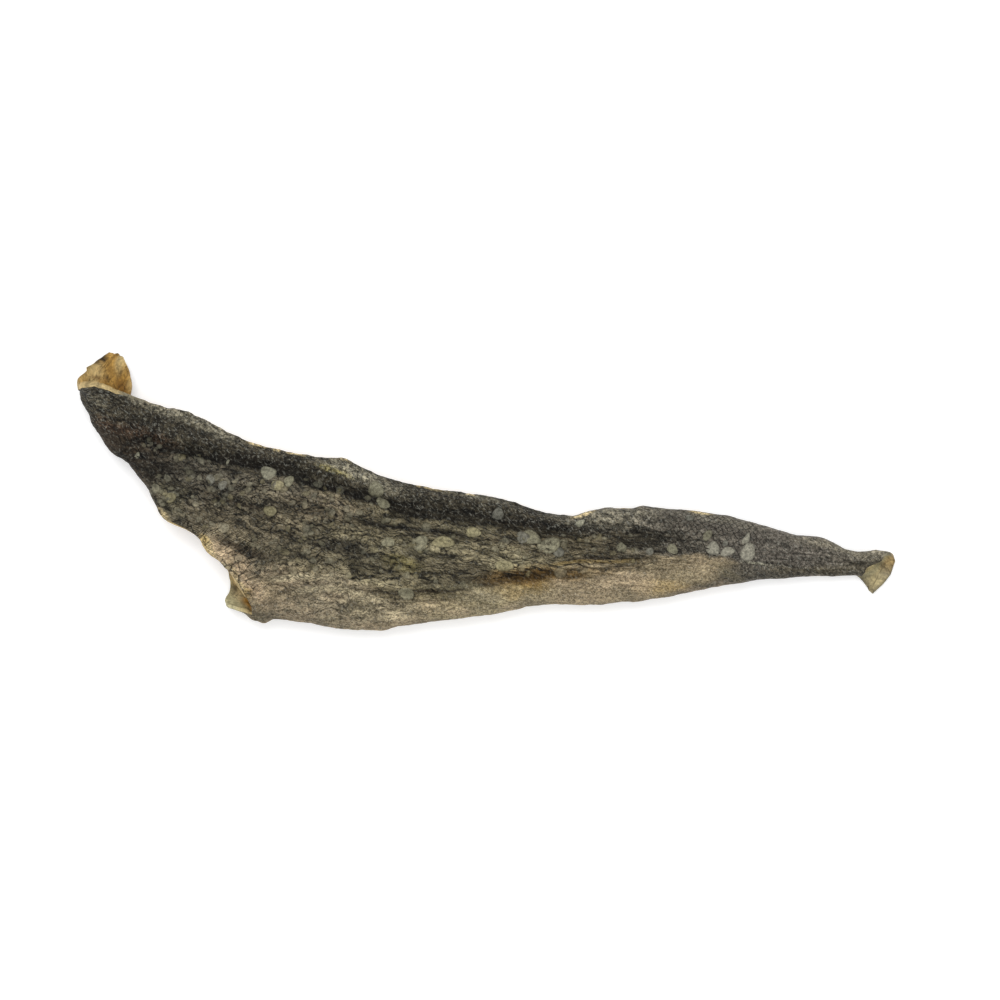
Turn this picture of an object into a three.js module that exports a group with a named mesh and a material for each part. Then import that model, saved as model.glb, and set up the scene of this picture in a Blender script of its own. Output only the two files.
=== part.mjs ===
// A dried haddock fillet with its skin on: one thin sheet of skin and flesh that has curled up while it
// dried. It lies skin side up. Its head end is rolled under on a slant, its belly edge is rolled under
// along the whole length, its back edge bends down, and its tail closes into a tube with a flared end.
//
// Millimetres and degrees. x runs from the head end to the tail, y towards the back of the fish, z up.
// The drawing starts at the head tip; the finished mesh is moved so that it stands centred on z = 0.

import * as THREE from "three";

// ---- mesh fineness ----
const ROWS_ALONG = 72;
// The sheet is drawn across in five strips, and "across" counts them: 0 is the back edge, 1 the end of the
// back's straight hem, 2 the back's crest, 3 the belly's crest, 4 the end of its turn, 5 the belly edge.
const COLUMNS_ACROSS = [2, 5, 18, 7, 3];
const BACK_CREST = 2;
const BELLY_CREST = 3;
// Rows stand closer together by this share near the head and the tail, where the sheet bends most.
const ROW_CROWDING = 0.42;

// ---- outline seen from above, as [x, y] ----
const BACK_LINE = [
  [-19, -16.4], [-16.5, -14.8], [-13.4, -12.3], [-11.6, -10.9], [-10, -9.8], [-8.2, -8.2], [-6.1, -6.8],
  [1, -4.6], [4.4, -2.5], [9.4, -2.4], [14, -2.9], [31, -3.7], [38, -3.3], [46, -4.3], [58, -7.4],
  [69, -9.1], [93, -8.2], [100, -6.7], [107, -8.4], [121, -10.3], [143, -8.8], [161, -7.6], [173, -8.8],
  [183, -8.2], [193, -3], [204, -0.2], [208.5, 1.7], [217, 2.6], [225, 4], [242, 5.1], [264, 4.3],
  [274, 5.4], [286, 3.3], [291, 4.5], [294, 5.6], [298, 5.9],
];
const BELLY_LINE = [
  [-17, -125], [0, -105], [20, -84], [40, -74], [68, -68.8], [77, -69.2], [82, -71.2], [84.5, -71.2],
  [89, -68.8], [98, -68], [107, -67.4], [118, -65.8], [127, -63.8], [133, -61], [145, -56.4],
  [167, -48], [177, -43], [186, -40], [196, -38], [217, -31.4], [247, -18], [262, -12.5], [278, -8],
  [292, -4.9],
];

// ---- where the sheet is cut at its two ends, as [across, x] ----
const HEAD_CUT = [
  [0, -15.5], [1, -16], [2, -17], [2.05, -16.2], [2.1, -14.1], [2.14, -11.8], [2.17, -8.5], [2.28, 5],
  [2.4, 20], [2.49, 33], [2.555, 40.5], [2.61, 51], [2.66, 56.3], [2.72, 59.4], [2.79, 65], [2.87, 70],
  [2.96, 75.3], [3.1, 79.5], [3.27, 80.5], [3.4, 76], [3.5, 72], [3.6, 70.8], [3.8, 70.2], [4, 71],
  [4.5, 69], [5, 64],
];
const TAIL_CUT = [
  [0, 296.6], [0.29, 298.6], [0.6, 300.6], [1, 301.2], [1.3, 300.6], [1.55, 298.6], [2, 296],
  [2.5, 293.3], [3, 291.6], [5, 290.5],
];

// ---- section sizes along the length, as [x, size] ----
const THICKNESS = [[-17, 1.5], [60, 1.4], [200, 1.3], [260, 1.15], [302, 1]];
const BACK_HEIGHT = [
  [-17, 12], [20, 12], [60, 13], [110, 13.2], [150, 12], [183, 9.8], [205, 10.8], [235, 10], [262, 9],
  [282, 7.2], [302, 6.6],
];
const BACK_RADIUS = [
  [20, 8], [100, 7], [160, 6], [183, 5], [205, 5.4], [235, 5], [262, 4.5], [282, 3.6], [302, 3.3],
];
const BACK_TURN = [
  [-12, 0], [0, -14], [9, -34], [24, 0], [40, 36], [110, 46], [165, 60], [183, 74], [205, 86], [235, 96],
  [255, 130], [272, 165], [284, 180],
];
const BACK_HEM = [
  [-17, 6], [24, 6], [40, 3], [165, 3], [205, 3.8], [235, 3.4], [250, 1.6], [272, 1], [284, 2.6],
  [288, 4.2], [290.5, 5.8], [294, 9.6], [297, 12],
];
const BELLY_RADIUS = [[60, 5.9], [120, 5.6], [180, 5.2], [235, 4.8], [262, 4.5], [282, 3.6], [302, 3.3]];
const BELLY_TURN = [[60, 180], [235, 180], [262, 150], [280, 112], [292, 95]];
const BELLY_HEM = [[60, 13], [120, 12], [180, 8], [220, 4], [245, 1], [292, 0.6]];
const MIDDLE_ARCH = [[-17, 0], [60, 0.5], [110, 1.8], [160, 1.6], [200, 1], [250, 0.4], [292, 0]];

// ---- creases in the skin: a line [x, y], how deep it is along x, and how wide ----
const CREASES = [
  {
    line: [
      [20, -17.7], [48, -17.4], [68, -16.5], [85, -15.2], [95, -17], [108, -17.2], [122, -20],
      [147, -17.2], [177, -15.9], [230, -6],
    ],
    depth: [[12, 0], [40, 3], [90, 3.1], [115, 3.5], [150, 3], [185, 1.8], [225, 0]],
    width: 3,
  },
  {
    line: [[52, -31], [66, -32], [92, -31], [120, -30]],
    depth: [[40, 0], [60, 1.2], [90, 1.2], [120, 0]],
    width: 2.6,
  },
  {
    line: [[80, -58], [111, -54], [148, -43], [164, -35.4], [195, -29], [222, -20]],
    depth: [[78, 0], [100, 1], [140, 1.2], [166, 2.4], [192, 2.2], [225, 0]],
    width: 2.8,
  },
];

// ---- long soft wrinkles between the creases ----
const WRINKLES = [
  { height: 0.45, pitch: 11, wander: 1.6, wanderLength: 95, start: 0.3 },
  { height: 0.3, pitch: 8, wander: 2.2, wanderLength: 140, start: 2.1 },
];

// ---- the slanted roll at the head end ----
const ROLL_START = new THREE.Vector2(0, 0);
const ROLL_END = new THREE.Vector2(43, -42.7);
const ROLL_RADIUS = [[0, 6], [60, 2.6]];       // by the distance along the roll: it is a cone
const ROLL_BOW = [
  [0, 0], [2.4, 1.2], [6.4, 2.6], [11, 3.9], [15.6, 4.9], [20.5, 5.4], [26, 4.5], [35, 2.1], [41, 0.7],
  [46, -0.1], [52, 0.5], [58, 1.6], [62, 1.4],
];
const ROLL_HEIGHT = 12;                        // the skin's height where the roll starts
const FLAP_RADIUS = 22;                        // the rolled-under end lifts again along this radius

// ---- cut edges ----
const CUT_BEVEL = [[0, 2.4], [8, 1.2], [20, 0.6]];  // by x: how far the flesh stands out past the skin

const SKIN_COLOUR = 0x625e54;

const { clamp, degToRad, lerp, smoothstep } = THREE.MathUtils;

/** A smooth curve through [place, value] pairs that never overshoots them and is level outside them. */
function curveThrough(pairs) {
  const rises = pairs.slice(1).map(([x, y], i) => (y - pairs[i][1]) / (x - pairs[i][0]));
  const slopes = pairs.map((_, i) => {
    const before = rises[i - 1] ?? 0;
    const after = rises[i] ?? 0;
    return before * after > 0 ? (2 * before * after) / (before + after) : 0;
  });
  return (place) => {
    const x = clamp(place, pairs[0][0], pairs.at(-1)[0]);
    const i = Math.max(1, pairs.findIndex((pair) => pair[0] >= x));
    const [x0, y0] = pairs[i - 1];
    const [x1, y1] = pairs[i];
    const width = x1 - x0;
    const s = (x - x0) / width;
    const rest = 1 - s;
    return y0 * rest * rest * (1 + 2 * s) + y1 * s * s * (3 - 2 * s)
      + width * s * rest * (slopes[i - 1] * rest - slopes[i] * s);
  };
}

const backLine = curveThrough(BACK_LINE);
const bellyLine = curveThrough(BELLY_LINE);
const headCut = curveThrough(HEAD_CUT);
const tailCut = curveThrough(TAIL_CUT);
const thickness = curveThrough(THICKNESS);
const backHeight = curveThrough(BACK_HEIGHT);
const backRadius = curveThrough(BACK_RADIUS);
const backTurn = curveThrough(BACK_TURN);
const backHem = curveThrough(BACK_HEM);
const bellyRadius = curveThrough(BELLY_RADIUS);
const bellyTurn = curveThrough(BELLY_TURN);
const bellyHem = curveThrough(BELLY_HEM);
const middleArch = curveThrough(MIDDLE_ARCH);
const rollRadius = curveThrough(ROLL_RADIUS);
const rollBow = curveThrough(ROLL_BOW);
const cutBevel = curveThrough(CUT_BEVEL);
const creases = CREASES.map(({ line, depth, width }) => ({
  line: curveThrough(line),
  depth: curveThrough(depth),
  width,
}));

/** The length of sheet in an edge's turn. */
function turnLength(radius, turn) {
  return radius * degToRad(Math.abs(turn));
}

/**
 * An edge of the sheet that bends away from its crest: an arc, then a straight hem.
 * distance is measured along the sheet from the crest. A negative turn bends up.
 */
function bentEdge(radius, turn, distance) {
  const inTurn = Math.min(distance, turnLength(radius, turn));
  const angle = Math.sign(turn) * (inTurn / radius);
  const run = distance - inTurn;
  return {
    out: radius * Math.sin(Math.abs(angle)) + run * Math.cos(angle),
    drop: Math.sign(angle) * radius * (1 - Math.cos(angle)) + run * Math.sin(angle),
    facingUp: Math.max(0, Math.cos(angle)),
  };
}

/** How far a bent edge reaches out from its crest, seen from above. */
function reachOf(radius, turn, hem) {
  const steepest = turnLength(radius, 90);
  const whole = turnLength(radius, turn) + hem;
  return bentEdge(radius, turn, Math.abs(turn) < 90 ? whole : steepest).out;
}

/** Creases and wrinkles at a place on the sheet, as a height to add. */
function relief(x, y) {
  const folds = creases.map(({ line, depth, width }) => (
    -depth(x) * Math.exp(-(((y - line(x)) / width) ** 2))
  ));
  const turn = 2 * Math.PI;
  const waves = WRINKLES.map(({ height, pitch, wander, wanderLength, start }) => (
    height * Math.cos((turn * y) / pitch + wander * Math.sin((turn * x) / wanderLength + start))
  ));
  return [...folds, ...waves].reduce((sum, height) => sum + height, 0);
}

/** The skin's point at x, at a place across the sheet, before its head end is rolled under. */
function openSheetPoint(x, across) {
  const back = [backRadius(x), backTurn(x)];
  const belly = [bellyRadius(x), bellyTurn(x)];
  const backCrestY = backLine(x) - reachOf(...back, backHem(x));
  const bellyCrestY = bellyLine(x) + reachOf(...belly, bellyHem(x));
  const backCrestZ = backHeight(x);
  const bellyCrestZ = 2 * bellyRadius(x);
  if (across < BACK_CREST) {
    const whole = turnLength(...back) + backHem(x);
    const { out, drop, facingUp } = bentEdge(...back, whole * (1 - across / BACK_CREST));
    const y = backCrestY + out;
    return new THREE.Vector3(x, y, backCrestZ - drop + facingUp * relief(x, y));
  }
  if (across > BELLY_CREST) {
    const step = across - BELLY_CREST;
    const distance = turnLength(...belly) * Math.min(step, 1) + bellyHem(x) * Math.max(step - 1, 0);
    const { out, drop, facingUp } = bentEdge(...belly, distance);
    const y = bellyCrestY - out;
    return new THREE.Vector3(x, y, bellyCrestZ - drop + facingUp * relief(x, y));
  }
  const share = across - BACK_CREST;
  const y = lerp(backCrestY, bellyCrestY, share);
  const base = lerp(backCrestZ, bellyCrestZ, smoothstep(share, 0, 1));
  return new THREE.Vector3(x, y, base + middleArch(x) * Math.sin(Math.PI * share) ** 2 + relief(x, y));
}

const rollLine = ROLL_END.clone().sub(ROLL_START).normalize();
const rollOutward = new THREE.Vector2(rollLine.y, -rollLine.x);

/** Wraps what lies past the slanted head roll round its cone and back under the sheet. */
function rollHeadUnder(point) {
  const fromStart = new THREE.Vector2(point.x, point.y).sub(ROLL_START);
  const alongRoll = fromStart.dot(rollLine);
  const bow = rollBow(alongRoll);
  const radius = rollRadius(alongRoll);
  const wrapped = fromStart.dot(rollOutward) - bow + radius;
  if (wrapped <= 0) return point;
  const angle = wrapped / radius;
  const flapAngle = Math.max(0, wrapped - Math.PI * radius) / FLAP_RADIUS;
  const underside = smoothstep(angle, Math.PI / 2, Math.PI);
  const raised = (point.z - ROLL_HEIGHT) * (1 - underside);
  const outwardShift = angle < Math.PI
    ? (radius + raised) * Math.sin(angle)
    : -FLAP_RADIUS * Math.sin(flapAngle);
  const height = angle < Math.PI
    ? ROLL_HEIGHT - radius + (radius + raised) * Math.cos(angle)
    : ROLL_HEIGHT - 2 * radius + FLAP_RADIUS * (1 - Math.cos(flapAngle));
  const place = ROLL_START.clone()
    .addScaledVector(rollLine, alongRoll)
    .addScaledVector(rollOutward, bow - radius + outwardShift);
  return new THREE.Vector3(place.x, place.y, height);
}

/** The places across the sheet where its columns of points stand. */
function acrossPlaces() {
  const places = COLUMNS_ACROSS.flatMap((count, strip) => (
    Array.from({ length: count }, (_, i) => strip + i / count)
  ));
  return [...places, COLUMNS_ACROSS.length];
}

/** The grid of skin points, one row for each step along the fillet. */
function skinGrid() {
  return Array.from({ length: ROWS_ALONG + 1 }, (_, row) => {
    const step = row / ROWS_ALONG;
    const share = step - (ROW_CROWDING * Math.sin(2 * Math.PI * step)) / (2 * Math.PI);
    return acrossPlaces().map((across) => {
      const x = lerp(headCut(across), tailCut(across), share);
      return rollHeadUnder(openSheetPoint(x, across));
    });
  });
}

/** The sheet's direction at a point between its two neighbours: the nearer neighbour counts for more. */
function directionAt(before, point, after) {
  const arriving = point.clone().sub(before);
  const leaving = after.clone().sub(point);
  const arrivingLength = arriving.length() || 1;
  const leavingLength = leaving.length() || 1;
  return arriving.normalize().multiplyScalar(leavingLength)
    .addScaledVector(leaving.normalize(), arrivingLength)
    .normalize();
}

/** The flesh points: the skin points moved inwards by the sheet's thickness, and out past each cut. */
function fleshGrid(skin) {
  const lastRow = skin.length - 1;
  const lastColumn = skin[0].length - 1;
  return skin.map((points, row) => points.map((point, column) => {
    const rowBefore = skin[Math.max(row - 1, 0)][column];
    const rowAfter = skin[Math.min(row + 1, lastRow)][column];
    const columnBefore = points[Math.max(column - 1, 0)];
    const columnAfter = points[Math.min(column + 1, lastColumn)];
    const lengthwise = directionAt(rowBefore, point, rowAfter);
    const crosswise = directionAt(columnBefore, point, columnAfter);
    const inwards = lengthwise.clone().cross(crosswise).normalize();
    const outLengthwise = Number(row === lastRow) - Number(row === 0);
    const outCrosswise = Number(column === lastColumn) - Number(column === 0);
    return point.clone()
      .addScaledVector(inwards, thickness(point.x))
      .addScaledVector(lengthwise, cutBevel(point.x) * outLengthwise)
      .addScaledVector(crosswise, cutBevel(point.x) * outCrosswise);
  }));
}

/** Joins two matching grids and their four rims into one closed mesh. */
function closedSheet(skin, flesh) {
  const rows = skin.length;
  const columns = skin[0].length;
  const points = [...skin.flat(), ...flesh.flat()];
  const skinAt = (row, column) => row * columns + column;
  const fleshAt = (row, column) => rows * columns + skinAt(row, column);
  const triangles = [];
  const gap = (a, b) => points[a % skinAt(rows, 0)].distanceTo(points[b % skinAt(rows, 0)]);
  // Four corners in turn. The split is along the skin's shorter diagonal, so that both faces split alike.
  const addQuad = (a, b, c, d) => {
    if (gap(a, c) <= gap(b, d)) triangles.push(a, b, c, a, c, d);
    else triangles.push(b, c, d, b, d, a);
  };
  const lastRow = rows - 1;
  const lastColumn = columns - 1;
  for (let row = 0; row < lastRow; row += 1) {
    const next = row + 1;
    for (let column = 0; column < lastColumn; column += 1) {
      const beside = column + 1;
      addQuad(skinAt(row, column), skinAt(row, beside), skinAt(next, beside), skinAt(next, column));
      addQuad(fleshAt(row, column), fleshAt(next, column), fleshAt(next, beside), fleshAt(row, beside));
    }
    addQuad(skinAt(row, 0), skinAt(next, 0), fleshAt(next, 0), fleshAt(row, 0));
    addQuad(
      skinAt(row, lastColumn), fleshAt(row, lastColumn),
      fleshAt(next, lastColumn), skinAt(next, lastColumn),
    );
  }
  for (let column = 0; column < lastColumn; column += 1) {
    const beside = column + 1;
    addQuad(skinAt(0, column), fleshAt(0, column), fleshAt(0, beside), skinAt(0, beside));
    addQuad(
      skinAt(lastRow, column), skinAt(lastRow, beside),
      fleshAt(lastRow, beside), fleshAt(lastRow, column),
    );
  }
  const geometry = new THREE.BufferGeometry();
  geometry.setFromPoints(points);
  geometry.setIndex(triangles);
  return geometry;
}

/** Moves a geometry so that the middle of its box stands over the origin and its lowest point is at 0. */
function standCentred(geometry) {
  geometry.computeBoundingBox();
  const box = geometry.boundingBox;
  const middle = box.getCenter(new THREE.Vector3());
  return geometry.translate(-middle.x, -middle.y, -box.min.z);
}

const skin = skinGrid();
const geometry = standCentred(closedSheet(skin, fleshGrid(skin)));
geometry.computeVertexNormals();

const fillet = new THREE.Mesh(
  geometry,
  new THREE.MeshStandardMaterial({ color: SKIN_COLOUR, roughness: 0.8, metalness: 0 }),
);
fillet.name = "fillet";

const haddockFillet = new THREE.Group();
haddockFillet.add(fillet);

export default haddockFillet;
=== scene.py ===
"""The looks of a freeze-dried haddock fillet that lies skin side up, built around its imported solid.

Sizes are millimetres in the fillet's own drawing: x from the head tip to the tail, y towards the back of
the fish, z up. A place on the sheet is given as (x, v), where v is y on the flat middle and goes on along the
bent skin past each crest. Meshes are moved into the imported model's frame, in metres, when they are made.
"""

import logging
import math
from dataclasses import dataclass
from enum import Enum

import bpy
import numpy as np
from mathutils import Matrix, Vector


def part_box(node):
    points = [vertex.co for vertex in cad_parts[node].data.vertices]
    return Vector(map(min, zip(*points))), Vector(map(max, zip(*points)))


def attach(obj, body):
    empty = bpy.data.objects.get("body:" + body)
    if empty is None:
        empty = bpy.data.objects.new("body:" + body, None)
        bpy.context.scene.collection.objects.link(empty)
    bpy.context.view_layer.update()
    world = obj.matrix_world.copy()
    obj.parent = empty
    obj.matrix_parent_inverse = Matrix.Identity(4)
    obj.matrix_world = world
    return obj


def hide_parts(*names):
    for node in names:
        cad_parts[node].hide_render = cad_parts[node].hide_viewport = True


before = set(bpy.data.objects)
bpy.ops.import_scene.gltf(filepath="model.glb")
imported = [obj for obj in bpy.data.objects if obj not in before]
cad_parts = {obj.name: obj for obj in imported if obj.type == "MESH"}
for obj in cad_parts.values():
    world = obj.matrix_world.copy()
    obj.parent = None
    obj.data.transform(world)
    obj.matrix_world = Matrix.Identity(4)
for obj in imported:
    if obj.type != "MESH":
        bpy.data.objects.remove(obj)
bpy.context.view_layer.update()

LOG = logging.getLogger("haddock_fillet")
MM = 0.001
MM_PER_CM = 10.0
TINY = 1e-9
EDGES = "DISTANCE_TO_EDGE"
Array = np.ndarray
Socket = bpy.types.NodeSocket
Pairs = tuple[tuple[float, float], ...]


def smooth(value: Array, low: float, high: float) -> Array:
    """Rises smoothly from 0, where the value is low, to 1, where it is high; high may be below low."""
    share = np.clip((value - low) / (high - low), 0.0, 1.0)
    return share * share * (3.0 - 2.0 * share)


def unit(vectors: Array) -> Array:
    """Scales the vectors in the last axis to length 1."""
    length = np.linalg.norm(vectors, axis=-1, keepdims=True)
    return vectors / np.maximum(length, TINY)


def mixed(colour: Array, tone: Array, share: Array) -> Array:
    """Mixes a share of another colour, the tone, into a colour."""
    return colour + (tone - colour) * share[..., None]


class Curve:
    """A smooth curve through (place, value) pairs that never overshoots them and is level outside them."""

    def __init__(self, pairs: Pairs) -> None:
        """Works out the slopes.

        Args:
            pairs: The (place, value) pairs, in rising order of place.
        """
        self.place = np.array([pair[0] for pair in pairs], float)
        self.value = np.array([pair[1] for pair in pairs], float)
        rise = np.diff(self.value) / np.diff(self.place)
        before, after = rise[:-1], rise[1:]
        same_way = before * after > 0
        total = np.where(same_way, before + after, 1.0)
        self.slope = np.zeros(len(pairs))
        self.slope[1:-1] = np.where(same_way, 2 * before * after / total, 0.0)

    def __call__(self, place: Array) -> Array:
        """Reads the curve.

        Args:
            place: Where to read it.

        Returns:
            The value at each place.
        """
        at = np.clip(place, self.place[0], self.place[-1])
        right = np.clip(np.searchsorted(self.place, at), 1, len(self.place) - 1)
        left = right - 1
        width = self.place[right] - self.place[left]
        s = (at - self.place[left]) / width
        rest = 1.0 - s
        return (
            self.value[left] * rest * rest * (1 + 2 * s)
            + self.value[right] * s * s * (3 - 2 * s)
            + width * s * rest * (self.slope[left] * rest - self.slope[right] * s)
        )


class Noise:
    """Smooth seeded noise over the plane, between -1 and 1."""

    CELLS = 256
    FINER = 2.03
    WEAKER = 0.5
    LAYER_SHIFT = (17.3, 5.1)

    def __init__(self, seed: int) -> None:
        """Draws the grid of values that a seed gives."""
        self.grid = np.random.default_rng(seed).uniform(-1.0, 1.0, (self.CELLS, self.CELLS))

    def at(self, u: Array, w: Array) -> Array:
        """Reads the noise.

        Args:
            u: First coordinate, in cells.
            w: Second coordinate, in cells.

        Returns:
            The noise at each place.
        """
        column, row = np.floor(u).astype(int), np.floor(w).astype(int)
        across, up = u - column, w - row
        across = across**3 * (across * (6 * across - 15) + 10)
        up = up**3 * (up * (6 * up - 15) + 10)
        c0, c1 = column % self.CELLS, (column + 1) % self.CELLS
        r0, r1 = row % self.CELLS, (row + 1) % self.CELLS
        low = self.grid[r0, c0] * (1 - across) + self.grid[r0, c1] * across
        high = self.grid[r1, c0] * (1 - across) + self.grid[r1, c1] * across
        return low * (1 - up) + high * up

    def layered(self, u: Array, w: Array, layers: int) -> Array:
        """Adds finer and weaker layers of the noise.

        Args:
            u: First coordinate, in cells of the coarsest layer.
            w: Second coordinate, in cells of the coarsest layer.
            layers: How many layers.

        Returns:
            The layered noise at each place.
        """
        total = np.zeros(np.broadcast(u, w).shape)
        shift_u, shift_w = self.LAYER_SHIFT
        for layer in range(layers):
            finer = self.FINER**layer
            total = total + self.at(u * finer + shift_u * layer, w * finer + shift_w * layer) * self.WEAKER**layer
        return total


@dataclass(frozen=True)
class Crease:
    """A crease in the skin: its line (x, y), its depth along x and its width."""

    line: Pairs
    depth: Pairs
    width: float

    def height(self, x: Array, y: Array) -> Array:
        """How far the crease lowers the skin at each place (x, y), as a height to add."""
        return -Curve(self.depth)(x) * np.exp(-(((y - Curve(self.line)(x)) / self.width) ** 2))


@dataclass(frozen=True)
class Wave:
    """A long soft wrinkle: height, pitch, how far it wanders, over what length, and where it starts."""

    height: float
    pitch: float
    wander: float
    wander_length: float
    start: float

    def height_at(self, x: Array, y: Array) -> Array:
        """Reads the wrinkle.

        Args:
            x: The place along the fillet.
            y: The place across it, seen from above.

        Returns:
            The wrinkle's height at each place.
        """
        turn = 2 * math.pi
        wandering = self.wander * np.sin(turn * x / self.wander_length + self.start)
        return self.height * np.cos(turn * y / self.pitch + wandering)


MAIN_VALLEY = Crease(
    line=(
        (20, -17.7), (48, -17.4), (68, -16.5), (85, -15.2), (95, -17), (108, -17.2), (122, -20),
        (147, -17.2), (177, -15.9), (230, -6),
    ),
    depth=((12, 0), (40, 3), (90, 3.1), (115, 3.5), (150, 3), (185, 1.8), (225, 0)),
    width=3.0,
)
SECOND_CREASE = Crease(
    line=((52, -31), (66, -32), (92, -31), (120, -30)),
    depth=((40, 0), (60, 1.2), (90, 1.2), (120, 0)),
    width=2.6,
)
BELLY_GROOVE = Crease(
    line=((80, -58), (111, -54), (148, -43), (164, -35.4), (195, -29), (222, -20)),
    depth=((78, 0), (100, 1), (140, 1.2), (166, 2.4), (192, 2.2), (225, 0)),
    width=2.8,
)


@dataclass(frozen=True)
class SheetShape:
    """The curled sheet: its outline, where it is cut, how its edges bend and how its head end rolls under."""

    back_line: Pairs = (
        (-19, -16.4), (-16.5, -14.8), (-13.4, -12.3), (-11.6, -10.9), (-10, -9.8), (-8.2, -8.2),
        (-6.1, -6.8), (1, -4.6), (4.4, -2.5), (9.4, -2.4), (14, -2.9), (31, -3.7), (38, -3.3),
        (46, -4.3), (58, -7.4), (69, -9.1), (93, -8.2), (100, -6.7), (107, -8.4), (121, -10.3),
        (143, -8.8), (161, -7.6), (173, -8.8), (183, -8.2), (193, -3), (204, -0.2), (208.5, 1.7),
        (217, 2.6), (225, 4), (242, 5.1), (264, 4.3), (274, 5.4), (286, 3.3), (291, 4.5),
        (294, 5.6), (298, 5.9),
    )
    belly_line: Pairs = (
        (-17, -125), (0, -105), (20, -84), (40, -74), (68, -68.8), (77, -69.2), (82, -71.2),
        (84.5, -71.2), (89, -68.8), (98, -68), (107, -67.4), (118, -65.8), (127, -63.8), (133, -61),
        (145, -56.4), (167, -48), (177, -43), (186, -40), (196, -38), (217, -31.4), (247, -18),
        (262, -12.5), (278, -8), (292, -4.9),
    )
    head_cut: Pairs = (
        (0, -15.5), (1, -16), (2, -17), (2.05, -16.2), (2.1, -14.1), (2.14, -11.8), (2.17, -8.5),
        (2.28, 5), (2.4, 20), (2.49, 33), (2.555, 40.5), (2.61, 51), (2.66, 56.3), (2.72, 59.4),
        (2.79, 65), (2.87, 70), (2.96, 75.3), (3.1, 79.5), (3.27, 80.5), (3.4, 76), (3.5, 72),
        (3.6, 70.8), (3.8, 70.2), (4, 71), (4.5, 69), (5, 64),
    )
    tail_cut: Pairs = (
        (0, 296.6), (0.29, 298.6), (0.6, 300.6), (1, 301.2), (1.3, 300.6), (1.55, 298.6), (2, 296),
        (2.5, 293.3), (3, 291.6), (5, 290.5),
    )
    thickness: Pairs = ((-17, 1.5), (60, 1.4), (200, 1.3), (260, 1.15), (302, 1))
    back_height: Pairs = (
        (-17, 12), (20, 12), (60, 13), (110, 13.2), (150, 12), (183, 9.8), (205, 10.8), (235, 10),
        (262, 9), (282, 7.2), (302, 6.6),
    )
    back_radius: Pairs = (
        (20, 8), (100, 7), (160, 6), (183, 5), (205, 5.4), (235, 5), (262, 4.5), (282, 3.6), (302, 3.3),
    )
    back_turn: Pairs = (
        (-12, 0), (0, -14), (9, -34), (24, 0), (40, 36), (110, 46), (165, 60), (183, 74), (205, 86),
        (235, 96), (255, 130), (272, 165), (284, 180),
    )
    back_hem: Pairs = (
        (-17, 6), (24, 6), (40, 3), (165, 3), (205, 3.8), (235, 3.4), (250, 1.6), (272, 1),
        (284, 2.6), (288, 4.2), (290.5, 5.8), (294, 9.6), (297, 12),
    )
    belly_radius: Pairs = (
        (60, 5.9), (120, 5.6), (180, 5.2), (235, 4.8), (262, 4.5), (282, 3.6), (302, 3.3),
    )
    belly_turn: Pairs = ((60, 180), (235, 180), (262, 150), (280, 112), (292, 95))
    belly_hem: Pairs = ((60, 13), (120, 12), (180, 8), (220, 4), (245, 1), (292, 0.6))
    middle_arch: Pairs = ((-17, 0), (60, 0.5), (110, 1.8), (160, 1.6), (200, 1), (250, 0.4), (292, 0))
    creases: tuple[Crease, ...] = (MAIN_VALLEY, SECOND_CREASE, BELLY_GROOVE)
    waves: tuple[Wave, ...] = (Wave(0.45, 11, 1.6, 95, 0.3), Wave(0.3, 8, 2.2, 140, 2.1))
    roll_end: tuple[float, float] = (43, -42.7)
    roll_radius: Pairs = ((0, 6), (60, 2.6))
    roll_bow: Pairs = (
        (0, 0), (2.4, 1.2), (6.4, 2.6), (11, 3.9), (15.6, 4.9), (20.5, 5.4), (26, 4.5), (35, 2.1),
        (41, 0.7), (46, -0.1), (52, 0.5), (58, 1.6), (62, 1.4),
    )
    roll_height: float = 12.0
    flap_radius: float = 22.0
    cut_bevel: Pairs = ((0, 2.4), (8, 1.2), (20, 0.6))
    wrinkle_slant: float = 0.215
    wrinkle_centre: float = 150.0
    solid_rows: int = 72
    solid_columns: tuple[int, ...] = (2, 5, 18, 7, 3)
    solid_crowding: float = 0.42

    def crests(self, x: Array) -> tuple[Array, Array]:
        """Finds the two crests, where the sheet starts to bend down.

        Args:
            x: The place along the fillet.

        Returns:
            The y of the back's crest and of the belly's crest at each x.
        """
        return (
            Curve(self.back_line)(x) - self.reach(self.back_radius, self.back_turn, self.back_hem, x),
            Curve(self.belly_line)(x) + self.reach(self.belly_radius, self.belly_turn, self.belly_hem, x),
        )

    @staticmethod
    def reach(radius: Pairs, turn: Pairs, hem: Pairs, x: Array) -> Array:
        """How far a bent edge reaches out from its crest, seen from above.

        Args:
            radius: The bend's radius along x.
            turn: The bend's turn in degrees along x; below 0 it bends up.
            hem: The straight hem's length along x.
            x: Where to read it.

        Returns:
            The reach at each x.
        """
        r, degrees, straight = Curve(radius)(x), Curve(turn)(x), Curve(hem)(x)
        angle = np.radians(np.minimum(np.abs(degrees), 90.0))
        whole = r * np.sin(angle) + straight * np.cos(angle)
        return np.where(np.abs(degrees) < 90.0, whole, r)

    @staticmethod
    def bent(r: Array, degrees: Array, distance: Array) -> tuple[Array, ...]:
        """Follows a bent edge: an arc, then a straight hem.

        Args:
            r: The arc's radius.
            degrees: The arc's turn; below 0 it bends up.
            distance: How far along the sheet from the crest.

        Returns:
            How far out, how far down, and how much of the skin faces up.
        """
        in_turn = np.minimum(distance, r * np.radians(np.abs(degrees)))
        angle = np.sign(degrees) * in_turn / r
        run = distance - in_turn
        out = r * np.sin(np.abs(angle)) + run * np.cos(angle)
        drop = np.sign(angle) * r * (1 - np.cos(angle)) + run * np.sin(angle)
        return out, drop, np.maximum(0.0, np.cos(angle))

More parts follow.
